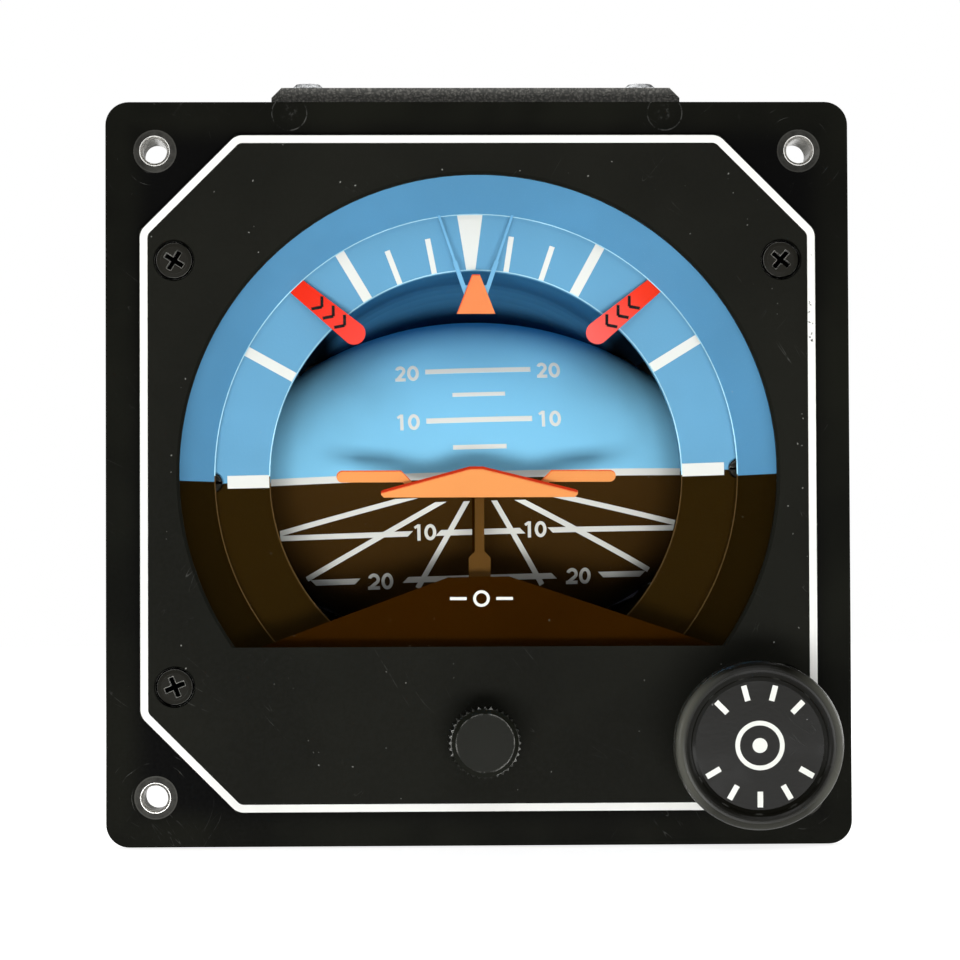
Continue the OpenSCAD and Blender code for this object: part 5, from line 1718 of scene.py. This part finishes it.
@dataclass
class Studio:
    """Floor, lamps, world and camera.

    Attributes:
        eye: Place of the camera in mm.
        target: Point in the middle of the picture, in mm.
        roll: Roll of the camera in degrees.
        lens: Focal length in mm.
        ambient: Strength of the world's light.
        mirrored: Strength of the floor and the horizon in reflections.
        floor_size: Width of the floor in metres.
        floor_gap: How far below the object it lies, in metres.
        lamps: Name, place and size in metres, and power in watts, of each lamp.
    """

    eye: tuple[float, float, float] = (-16.78, -560.0, -18.62)
    target: tuple[float, float, float] = (0.18, 0.0, -1.0)
    roll: float = -0.237
    lens: float = 152.75
    ambient: float = 0.08
    mirrored: float = 0.5
    floor_size: float = 6.0
    floor_gap: float = 0.0002
    lamps: tuple = (
        ("key_below", (-0.03, -0.85, -0.23), (0.5, 0.14), 5.7),
        ("floor_bounce", (0.0, -0.45, -0.45), (0.8, 0.4), 1.4),
        ("fill_above", (0.0, -0.85, 0.42), (0.6, 0.4), 2.0),
        ("side_left", (-0.7, -0.25, -0.05), (0.12, 0.5), 0.6),
        ("side_right", (0.7, -0.25, -0.05), (0.12, 0.5), 0.7),
        ("back_left", (-0.75, 0.5, 0.2), (0.5, 0.5), 3.2),
        ("back_right", (0.75, 0.5, 0.2), (0.5, 0.5), 3.2),
        ("top_back", (0.0, 0.45, 0.7), (0.6, 0.6), 2.8),
    )

    def build(self) -> None:
        """Sets everything up."""
        bpy.context.scene.view_settings.view_transform = "Standard"
        self.world()
        self.floor()
        for name, place, size, power in self.lamps:
            self.lamp(name, place, size, power)
        self.camera()

    def world(self) -> None:
        """Makes the world white to look at, with a darker ceiling in reflections, and softer as a light."""
        world = bpy.data.worlds.new("studio")
        bpy.context.scene.world = world
        world.use_nodes = True
        s = Sketch(world.node_tree)
        path = s.add("LightPath").outputs
        height = s.add("SeparateXYZ", {0: s.add("TexCoord").outputs["Generated"]}).outputs["Z"]
        mirrored = s.times(path["Is Glossy Ray"], s.span(height, 0.1, 0.6, self.mirrored, 0.0))
        seen = s.math("MAXIMUM", path["Is Camera Ray"], path["Is Transmission Ray"])
        seen = s.math("MAXIMUM", seen, mirrored)
        strength = s.add("MapRange", {"Value": seen, "To Min": self.ambient, "To Max": 1.0}).outputs[0]
        s.show(s.add("Background", {"Color": grey(1.0), "Strength": strength}), "OutputWorld")

    def floor(self) -> None:
        """Lays the floor just under the object."""
        deselect()
        below = (0.0, 0.0, CAD_BOX[0].z - self.floor_gap)
        bpy.ops.mesh.primitive_plane_add(size=self.floor_size, location=below)
        floor = bpy.context.object
        floor.name = "studio_floor"
        floor.data.materials.append(FloorFinish("studio_floor", grey(0.8), self.mirrored).material())

    @staticmethod
    def lamp(name: str, place: tuple, size: tuple[float, float], power: float) -> None:
        """Adds a soft rectangular lamp that points at the object.

        Args:
            name: Its name.
            place: Where it stands, in metres.
            size: Its width and height, in metres.
            power: Its power in watts.
        """
        deselect()
        bpy.ops.object.light_add(type="AREA", location=place)
        lamp = bpy.context.object
        lamp.name = name
        lamp.data.shape = "RECTANGLE"
        lamp.data.size, lamp.data.size_y = size
        lamp.data.energy = power
        lamp.rotation_euler = (-Vector(place)).to_track_quat("-Z", "Y").to_euler()

    def camera(self) -> None:
        """Adds the camera at the photograph's viewing angle."""
        deselect()
        eye, target = Vector(self.eye) * MM, Vector(self.target) * MM
        bpy.ops.object.camera_add(location=eye)
        camera = bpy.context.object
        upright = (target - eye).to_track_quat("-Z", "Y")
        turn = upright @ Quaternion((0.0, 0.0, 1.0), math.radians(self.roll))
        camera.rotation_euler = turn.to_euler()
        camera.data.sensor_width = 36.0
        camera.data.lens = self.lens
        camera.data.clip_start = 0.01
        camera.data.clip_end = 20.0
        bpy.context.scene.camera = camera


def main() -> None:
    """Builds every sub-assembly in order."""
    logging.basicConfig(level=logging.INFO, format="%(name)s: %(message)s")
    for kind in (Studio, Bezel, Dial, BankRing, HorizonDrum, Signals, Knobs, ReturnSpring, Works):
        LOG.info("-- %s", kind.__name__)
        kind().build()


if __name__ == "__main__":
    main()
